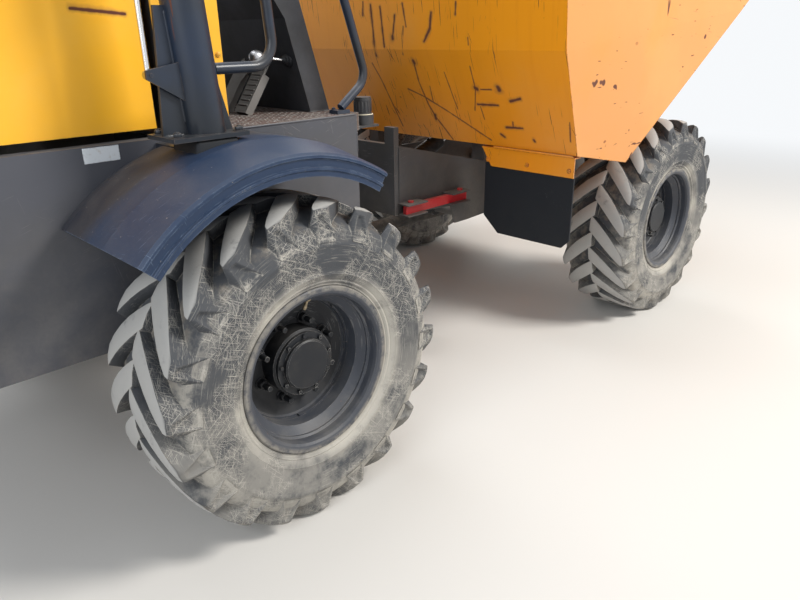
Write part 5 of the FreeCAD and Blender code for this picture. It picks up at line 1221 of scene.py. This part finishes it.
boltSets = {
    # name: body, slot, head radius, head height, places and directions on the right side
    "flapBolts": ("skip", "skip_yellow", 0.0085, 0.006, [
        ((0.3050, -0.590, 0.945), (-1, 0, 0)), ((0.3050, -0.818, 0.945), (-1, 0, 0)),
        ((0.3050, -1.042, 0.945), (-1, 0, 0))]),
    "flapNuts": ("skip", "hub_black", 0.0085, 0.007, [
        ((0.3192, -0.590, 0.922), (1, 0, 0)), ((0.3192, -0.818, 0.922), (1, 0, 0)),
        ((0.3192, -1.042, 0.922), (1, 0, 0))]),
    "postFootBolts": ("rear_chassis", "rops_black", 0.0125, 0.011, [
        ((-1.438, -0.795, 1.274), (0, 0, 1)), ((-1.438, -0.903, 1.274), (0, 0, 1)),
        ((-1.250, -0.795, 1.274), (0, 0, 1)), ((-1.250, -0.903, 1.274), (0, 0, 1))]),
    "hoopPinNuts": ("rear_chassis", "hub_black", 0.0145, 0.012, [
        ((-1.4485, -0.916, 1.975), (0, -1, 0)), ((-1.4485, -0.784, 1.975), (0, 1, 0))]),
    "tipPinBolts": ("front_chassis", "hub_black", 0.0160, 0.010, [
        ((1.575, -0.520, 0.950), (0, -1, 0))]),
    "weightBolts": ("rear_chassis", "chassis_paint", 0.0210, 0.016, [
        ((-2.0900, -0.300, 0.720), (-1, 0, 0)), ((-2.0900, -0.300, 1.000), (-1, 0, 0))]),
    "sidePlateBolts": ("rear_chassis", "chassis_paint", 0.0100, 0.007, [
        ((-2.005, -0.650, 0.700), (0, -1, 0)), ((-2.005, -0.650, 0.900), (0, -1, 0)),
        ((-2.005, -0.650, 1.100), (0, -1, 0))]),
    "deckLipBolts": ("rear_chassis", "deck_paint", 0.0080, 0.006, [
        ((-0.5750, -0.560, 1.214), (1, 0, 0)), ((-0.5750, -0.200, 1.214), (1, 0, 0))]),
    "railFootBolts": ("rear_chassis", "rail_black", 0.0075, 0.006, [
        ((-0.6640, -0.612, 1.262), (0, 0, 1))]),
    "seatPanelBolts": ("rear_chassis", "body_yellow", 0.0070, 0.005, [
        ((-1.1260, -0.620, 1.300), (0, -1, 0)), ((-1.1260, -0.620, 1.470), (0, -1, 0)),
        ((-1.1260, -0.620, 1.640), (0, -1, 0))]),
    "lockPinNuts": ("front_chassis", "hub_black", 0.0125, 0.008, [
        ((-0.123, -0.480, 0.7350), (0, 0, -1)), ((0.227, -0.480, 0.7350), (0, 0, -1))]),
}


def addFixings():
    for name, (body, slot, radius, height, places) in boltSets.items():
        both = places if name == "lockPinNuts" else mirrored(places)
        addBolts(name, body, slot, radius, height, both)


weldSets = {
    # name: body, slot, half width, seams on the right side as start, end and the way out
    "postWelds": ("rear_chassis", "rops_black", 0.0045, [
        ((-1.385, -0.8465, 1.300), (-1.4050, -0.8465, 1.590), (-0.5, 1, 0)),
        ((-1.385, -0.8535, 1.300), (-1.4050, -0.8535, 1.590), (-0.5, -1, 0)),
        ((-1.2700, -0.8535, 1.300), (-1.2830, -0.8535, 1.460), (0.5, -1, 0)),
        ((-1.2700, -0.8465, 1.300), (-1.2830, -0.8465, 1.460), (0.5, 1, 0)),
        ((-1.450, -0.8555, 1.275), (-1.390, -0.8555, 1.275), (0, -1, 1)),
        ((-1.450, -0.8445, 1.275), (-1.390, -0.8445, 1.275), (0, 1, 1))]),
    "consoleWelds": ("rear_chassis", "inner_black", 0.0035, [
        ((-0.690, -0.4985, 1.2500), (-0.599, -0.4985, 1.2500), (0, -1, 1))]),
    "deckWelds": ("rear_chassis", "chassis_paint", 0.0040, [
        ((-1.090, -0.6500, 1.2420), (-0.590, -0.6500, 1.2420), (0, -1, 0)),
        ((-0.5850, -0.6480, 1.1000), (-0.5850, -0.6480, 1.1800), (1, -1, 0))]),
    "tailWelds": ("front_chassis", "front_paint", 0.0045, [
        ((-0.1680, -0.4505, 0.7500), (-0.1680, -0.4505, 1.0450), (1, -1, 0)),
        ((-0.1680, -0.3900, 1.0600), (-0.1680, -0.4480, 1.0600), (1, 0, 1))]),
    "skipWelds": ("skip", "skip_yellow", 0.0045, [
        ((0.3020, -0.6200, 1.0090), (0.3020, -1.0600, 1.0090), (-1, 0, 0.4)),
        ((1.2800, -0.4330, 1.2100), (1.6500, -0.4330, 1.4550), (0, -1, -0.4))]),
}


def addSeams():
    for name, (body, slot, width, seams) in weldSets.items():
        addWelds(name, body, slot, width, mirrored(seams))


addFixings()
addSeams()
print("fixings ready")


# Tread plate: raised lozenges, turned one way and then the other
deckPattern = {
    "pitch": 0.030,
    "columns": (-1.098, -0.592),
    "halfWidth": 0.634,
    "top": 1.248,
    "consoleFrom": -0.700,
    "consoleHalf": 0.512,
    "lozenge": (0.0118, 0.0031, 0.0017),
}


def makeDeckPattern(shape):
    deselectAll()
    bpy.ops.mesh.primitive_cone_add(vertices=10, radius1=1, radius2=0.5, depth=1)
    lozenge = bpy.context.object
    lozenge.scale = shape["lozenge"]
    lozenge = settle(lozenge)
    pieces = []
    pitch = shape["pitch"] / 2
    for column in range(int((shape["columns"][1] - shape["columns"][0]) / pitch)):
        for row in range(int(2 * shape["halfWidth"] / pitch)):
            if (column + row) % 2:
                continue
            x = shape["columns"][0] + column * pitch
            y = row * pitch - shape["halfWidth"]
            if x > shape["consoleFrom"] and abs(y) < shape["consoleHalf"]:
                continue
            turn = 45 if column % 2 else -45
            place = Matrix.Translation((x, y, shape["top"] + shape["lozenge"][2] / 2 - 0.0001))
            pieces.append(copied(lozenge, place @ Matrix.Rotation(math.radians(turn), 4, "Z")))
    bpy.data.objects.remove(lozenge)
    addPart("treadPattern", "rear_chassis", "deck_paint", joined(pieces, "treadPattern"))


makeDeckPattern(deckPattern)
print("deck ready")


# Rear lamps: a round ribbed lens in a black bezel on each boss
lampShape = {
    "face": -2.1240,
    "height": 1.112,
    "lenses": {"outer": (0.570, "lens"), "inner": (0.490, "lensAmber")},  # distance from the middle, tone
    "lens": [(0.0, 0.0), (0.0265, 0.0), (0.0265, -0.0035), (0.0225, -0.0068), (0.0125, -0.0088),
             (0.0, -0.0092)],
    "bezel": [(0.0262, 0.0), (0.0305, 0.0), (0.0305, -0.0042), (0.0290, -0.0056), (0.0262, -0.0046)],
}


def makeLamps(shape):
    lens = spunProfile(shape["lens"], 48, (0, 0, 1))
    bezel = spunProfile(shape["bezel"], 48, (0, 0, 1))
    for label, (across, tone) in shape["lenses"].items():
        glass = makeLens("lens_" + label, tone)
        for side in (-1, 1):
            place = facing((shape["face"], side * across, shape["height"]), (1, 0, 0))
            name = f"{label}_{'left' if side > 0 else 'right'}"
            piece = smoothed(copied(lens, place), 50)
            addPart("lampGlass_" + name, "rear_chassis", "lamp_lens", piece, glass)
            addPart("lampBezel_" + name, "rear_chassis", "inner_black", smoothed(copied(bezel, place), 40))
    bpy.data.objects.remove(lens)
    bpy.data.objects.remove(bezel)


makeLamps(lampShape)
print("lamps ready")


# Blank plates: one on the right side plate, one between the lamps
blankPlates = {
    # name: low corner, high corner, slot
    "blankLabel": ((-1.600, -0.6512, 1.196), (-1.497, -0.6498, 1.239), "chassis_paint"),
    "blankPlateRear": ((-2.0935, -0.255, 0.955), (-2.0898, 0.255, 1.055), "inner_black"),
}

blankPlateBars = [
    # low and high corners of the frame's bars, as across and height
    ((-0.258, 1.048), (0.258, 1.056)), ((-0.258, 0.954), (0.258, 0.962)),
    ((-0.258, 0.962), (-0.250, 1.048)), ((0.250, 0.962), (0.258, 1.048)),
]


def makeBlankPlates():
    paper = Finish("blankLabelFace", "label", 0.45)
    paper.over(paper.band(paper.noise(60.0, 5.0, 0.7), 0.52, 0.74), "dust", 0.8, 0.5)
    paper.edged(0.003, "chassis", 0.6, Amount=0.9)
    paper = paper.done()
    for name, (low, high, slot) in blankPlates.items():
        plate = bevelled(slab(low, high), 0.0006, 1)
        addPart(name, "rear_chassis", slot, smoothed(plate, 40), paper if name == "blankLabel" else None)
    bars = []
    for (left, foot), (right, top) in blankPlateBars:
        bars.append(bevelled(slab((-2.0955, left, foot), (-2.0930, right, top)), 0.0007, 1))
    bars = joined(bars, "blankPlateFrame")
    addPart("blankPlateFrame", "rear_chassis", "inner_black", smoothed(bars, 40))


makeBlankPlates()
print("plates ready")


# Console: gauges, rocker switches, key switch and levers on its sloping face
consoleFace = {"middle": (-0.8300, 0.0, 1.7955), "out": (-0.690, 0.0, 0.723), "down": (-0.723, 0.0, -0.690)}
gaugeShape = {
    "places": [(0.300, 0.036), (-0.285, 0.029), (-0.360, 0.024)],  # across, radius
    "ring": [(0.84, 0.004), (0.86, 0.0095), (0.93, 0.0120), (1.0, 0.0090), (1.02, 0.0), (0.84, 0.0)],
    "face": 0.85,
    "hand": 0.62,
    "handTurn": 38,
    "ticks": 9,
    "tickFrom": -120,
    "tickStep": 30,
}
switchShape = {"rows": 2, "columns": 3, "across": 0.400, "pitch": 0.028, "rowPitch": 0.026, "rock": 9}
keyPlace = (-0.425, 0.012)
gaiterProfile = [
    # radius and height of the column's bellows
    (0.0, -0.004), (0.052, -0.004), (0.052, 0.004), (0.044, 0.010), (0.046, 0.016), (0.037, 0.022),
    (0.039, 0.028), (0.030, 0.034), (0.0315, 0.040), (0.0255, 0.046), (0.0, 0.046),
]


def onConsole(across, down=0.0):
    face = consoleFace
    place = Vector(face["middle"]) + Vector((0, across, 0)) + Vector(face["down"]) * down
    return facing(place, face["out"])


def makeGauges(shape):
    dial = Finish("dialFace", "dial", 0.4)
    dial = dial.over(dial.band(dial.noise(90.0, 4.0, 0.6), 0.5, 0.7), "dust", 0.7, 0.4).done()
    rims, faces, hands = [], [], []
    for across, radius in shape["places"]:
        place = onConsole(across)
        ring = spunProfile([(radius * share, height) for share, height in shape["ring"]], 48, (0, 0, 1))
        rims += discarded(ring, [copied(ring, place)])
        disc = cylinder(radius * shape["face"], 0.004, (0, 0, 0.003), "Z", 48)
        disc.data.transform(place)
        faces.append(disc)
        hand = slab((-0.0009, -0.004, 0.0052), (0.0009, radius * shape["hand"], 0.0062))
        cap = bevelled(cylinder(0.0035, 0.003, (0, 0, 0.0062), "Z", 16), 0.0005, 1)
        hand = joined([hand, cap], "hand")
        hand.data.transform(place @ Matrix.Rotation(math.radians(shape["handTurn"]), 4, "Z"))
        hands.append(hand)
        for tick in range(shape["ticks"]):
            angle = math.radians(shape["tickFrom"] + tick * shape["tickStep"])
            mark = slab((-0.0006, radius * 0.66, 0.0050), (0.0006, radius * 0.78, 0.0054))
            mark.data.transform(place @ Matrix.Rotation(angle, 4, "Z"))
            hands.append(mark)
    addPart("gaugeRims", "rear_chassis", "inner_black", smoothed(joined(rims, "gaugeRims"), 40))
    addPart("gaugeFaces", "rear_chassis", "inner_black", joined(faces, "gaugeFaces"), dial)
    addPart("gaugeHands", "rear_chassis", "hub_black", joined(hands, "gaugeHands"))


def makeKey():
    barrel = bevelled(cylinder(0.0135, 0.010, (0, 0, 0.004), "Z", 28), 0.0018, 2)
    blade = bevelled(slab((-0.0011, -0.0045, 0.006), (0.0011, 0.0045, 0.024)), 0.0004, 1)
    bow = bevelled(slab((-0.0014, -0.0110, 0.022), (0.0014, 0.0110, 0.040)), 0.0012, 2)
    key = joined([barrel, blade, bow], "key")
    key.data.transform(onConsole(*keyPlace))
    return key


def makeSwitches(shape):
    pieces = []
    for row in range(shape["rows"]):
        for column in range(shape["columns"]):
            rocker = bevelled(slab((-0.0075, -0.0145, 0), (0.0075, 0.0145, 0.0065)), 0.0022, 2)
            rim = bevelled(slab((-0.0100, -0.0175, -0.0005), (0.0100, 0.0175, 0.0026)), 0.0010, 1)
            rock = shape["rock"] if (row + column) % 2 else -shape["rock"]
            rocker.data.transform(Matrix.Rotation(math.radians(rock), 4, "X"))
            switch = joined([rocker, rim], "switch")
            across = shape["across"] + shape["pitch"] * column
            switch.data.transform(onConsole(across, shape["rowPitch"] * (row * 2 - 1)))
            pieces.append(switch)
    pieces.append(makeKey())
    addPart("switches", "rear_chassis", "grip_black", smoothed(joined(pieces, "switches"), 35))


def makeColumnGaiter():
    gaiter = spunProfile(gaiterProfile, 48, (0, 0, 1))
    gaiter.data.transform(onConsole(0.0))
    addPart("columnGaiter", "rear_chassis", "grip_black", smoothed(gaiter, 50))


leverShape = {
    "rod": 0.0060,
    "boot": [(0.0, -0.010), (0.024, -0.010), (0.024, 0.004), (0.018, 0.009), (0.020, 0.014), (0.014, 0.019),
             (0.0155, 0.024), (0.009, 0.032), (0.0, 0.032)],
}
levers = {
    # name: foot, knob's place, knob's outline as radius and height
    "sideLever": ((-0.735, -0.450, 1.435), (-0.852, -0.450, 1.4485), [
        (0.0, -0.004), (0.014, -0.004), (0.019, 0.004), (0.023, 0.014), (0.0240, 0.026), (0.0205, 0.038),
        (0.0120, 0.046), (0.0, 0.0485)]),
    "tipLever": ((-0.812, 0.405, 1.700), (-0.900, 0.405, 1.842), [
        (0.0, -0.010), (0.009, -0.010), (0.013, 0.004), (0.0195, 0.018), (0.0215, 0.030), (0.0180, 0.043),
        (0.0090, 0.051), (0.0, 0.053)]),
}


def makeLever(name, foot, knob, knobProfile, material):
    # A rod from a ribbed boot to a turned knob
    foot, knob = Vector(foot), Vector(knob)
    reach = (knob - foot).length
    along = (knob - foot).normalized()
    rod = cylinder(leverShape["rod"], reach, (0, 0, reach / 2), "Z", 20)
    boot = spunProfile(leverShape["boot"], 32, (0, 0, 1))
    boot.data.transform(facing(foot, along))
    rod.data.transform(facing(foot, along))
    top = spunProfile(knobProfile, 40, (0, 0, 1))
    top.data.transform(facing(knob, along))
    addPart(name + "Rod", "rear_chassis", "rod_chrome", smoothed(rod, 40))
    addPart(name + "Boot", "rear_chassis", "grip_black", smoothed(boot, 50))
    addPart(name + "Knob", "rear_chassis", "grip_black", smoothed(top, 50), material)


makeGauges(gaugeShape)
makeSwitches(switchShape)
makeColumnGaiter()
silver = makeMetal("wornAluminium", "aluminium", 0.32, 0.9, thinDust, 0.002, 0.15)
for name, (foot, knob, outline) in levers.items():
    makeLever(name, foot, knob, outline, silver if name == "sideLever" else None)
print("console ready")


# Breather: ribs round its body and a pale ring above the cap
breatherShape = {
    "place": (-0.500, -0.590, 0),
    "ribs": 16,
    "ribLow": (0.0320, -0.0022, 1.240),
    "ribHigh": (0.0352, 0.0022, 1.280),
    "ring": [(0.0300, 1.2285), (0.0392, 1.2285), (0.0402, 1.2310), (0.0392, 1.2335), (0.0300, 1.2335)],
}


def makeBreatherTrim(shape):
    place = Matrix.Translation(shape["place"])
    ribs = []
    for number in range(shape["ribs"]):
        rib = bevelled(slab(shape["ribLow"], shape["ribHigh"]), 0.0008, 1)
        rib.data.transform(place @ Matrix.Rotation(math.tau * number / shape["ribs"], 4, "Z"))
        ribs.append(rib)
    addPart("breatherRibs", "rear_chassis", "inner_black", smoothed(joined(ribs, "breatherRibs"), 40))
    ring = spunProfile(shape["ring"], 48, (0, 0, 1))
    ring.data.transform(place)
    cream = makeMetal("creamRing", "cream", 0.55, 0.0, highDust)
    addPart("breatherRing", "rear_chassis", "inner_black", smoothed(ring, 40), cream)


# Boots that close the mudguards round the roll frame's posts
bootShape = {"low": (-1.392, 0.776, 1.170), "high": (-1.262, 0.918, 1.2618), "flare": 0.010, "edge": 0.010}


def makePostBoots(shape):
    middle = (shape["low"][0] + shape["high"][0]) / 2
    for label, side in (("left", 1), ("right", -1)):
        boot = slab(shape["low"], shape["high"])
        for vertex in boot.data.vertices:
            if vertex.co.z < 1.2:
                vertex.co.x += math.copysign(shape["flare"], vertex.co.x - middle)
        boot = mirroredTo(side, bevelled(boot, shape["edge"], 3))
        addPart("postBoot_" + label, "rear_chassis", "flap_rubber", smoothed(boot, 40))


# Bonnet latches near its rear edge, one on each side
latchShape = {
    # low and high corners, and then the roller's radius, length and place
    "base": ((-1.945, 0.6195, 1.300), (-1.905, 0.6225, 1.385)),
    "strap": ((-1.936, 0.6220, 1.315), (-1.914, 0.6300, 1.372)),
    "grip": (0.0060, 0.040, (-1.925, 0.6290, 1.312)),
}


def makeLatches(shape):
    radius, length, place = shape["grip"]
    for label, side in (("left", 1), ("right", -1)):
        base = bevelled(slab(*shape["base"]), 0.0012, 2)
        strap = bevelled(slab(*shape["strap"]), 0.0040, 3)
        grip = bevelled(cylinder(radius, length, place, "X", 20), 0.0016, 2)
        latch = mirroredTo(side, joined([base, strap, grip], "latch"))
        addPart("bonnetLatch_" + label, "bonnet", "grip_black", smoothed(latch, 35))


# Ports with their plugs on the tipping rams
portShape = {
    "base": (0.275, 0.660),
    "eye": (1.125, 0.985),
    "across": 0.250,
    "distances": (0.075, 0.560),
    "out": 0.030,
    "boss": (0.013, 0.020, 0.006),  # radius, length and place of the boss and of its plug
    "plug": (0.0095, 0.012, 0.021),
}


def makePorts(shape):
    (footX, footZ), (eyeX, eyeZ) = shape["base"], shape["eye"]
    run = Vector((eyeX - footX, 0, eyeZ - footZ)).normalized()
    up = Vector((-run.z, 0, run.x))
    pieces = []
    for side in (-1, 1):
        for distance in shape["distances"]:
            place = Vector((footX, side * shape["across"], footZ)) + run * distance + up * shape["out"]
            radius, length, height = shape["boss"]
            boss = bevelled(cylinder(radius, length, (0, 0, height), "Z", 24), 0.0015, 2)
            radius, length, height = shape["plug"]
            plug = bevelled(cylinder(radius, length, (0, 0, height), "Z", 6), 0.0012, 1)
            port = joined([boss, plug], "port")
            port.data.transform(facing(place, up))
            pieces.append(port)
    addPart("tipPorts", "tip_barrels", "ram_black", smoothed(joined(pieces, "tipPorts"), 35))


makeBreatherTrim(breatherShape)
makePostBoots(bootShape)
print("trim ready")
makeLatches(latchShape)
makePorts(portShape)
print("fittings ready")


# Seat: padded cushion and back
seatPads = {
    # name: node, low and high corners, where it is crowned, sewn channels along y
    "seatCushion": {"node": "seat_cushion", "low": (-1.303, -0.228, 1.6006), "high": (-0.907, 0.228, 1.690),
                    "out": (0, 0, 1), "channels": (-1.215, -1.120, -1.025), "axis": 0},
    "seatBack": {"node": "seat_back", "low": (-1.3055, -0.213, 1.722), "high": (-1.228, 0.213, 2.128),
                 "out": (1, 0, 0), "channels": (1.830, 1.925, 2.020), "axis": 2},
}


def makePad(name, shape):
    low, high = Vector(shape["low"]), Vector(shape["high"])
    out = Vector(shape["out"])
    pad = bevelled(slab(low, high), 0.026, 4)
    remesh = pad.modifiers.new("even", "REMESH")
    remesh.mode = "VOXEL"
    remesh.voxel_size = 0.007
    applyModifiers(pad)
    start = [vertex.co.copy() for vertex in pad.data.vertices]
    activate(pad)
    bpy.ops.object.modifier_add(type="CLOTH")
    cloth = pad.modifiers[-1]
    cloth.settings.quality = 5
    cloth.settings.mass = 0.3
    cloth.settings.use_pressure = True
    cloth.settings.uniform_pressure_force = 4.0
    cloth.settings.effector_weights.gravity = 0
    cloth.settings.shrink_min = -0.02
    cloth.point_cache.frame_start = 1
    cloth.point_cache.frame_end = 20
    for number in range(1, 21):
        bpy.context.scene.frame_set(number)
    activate(pad)
    bpy.ops.object.modifier_apply(modifier=cloth.name)
    bpy.context.scene.frame_set(1)
    floor = low.dot(out)
    for vertex, before in zip(pad.data.vertices, start):
        moved = vertex.co - before
        if moved.length > 0.012:
            moved = moved.normalized() * 0.012
        vertex.co = before + moved
        height = vertex.co.dot(out)
        if height < floor:
            vertex.co += out * (floor - height)
        if (before.dot(out) - floor) > 0.03:
            for channel in shape["channels"]:
                gap = vertex.co[shape["axis"]] - channel
                vertex.co -= out * (0.0065 * math.exp(-(gap / 0.0065) ** 2))
    smooth = pad.modifiers.new("fine", "SUBSURF")
    smooth.levels = 1
    smooth.render_levels = 1
    applyModifiers(pad)
    addPart(name, "rear_chassis", "seat_vinyl", smoothed(pad, 60))
    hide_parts(shape["node"])
    return pad


for name, shape in seatPads.items():
    makePad(name, shape)
print("seat ready")
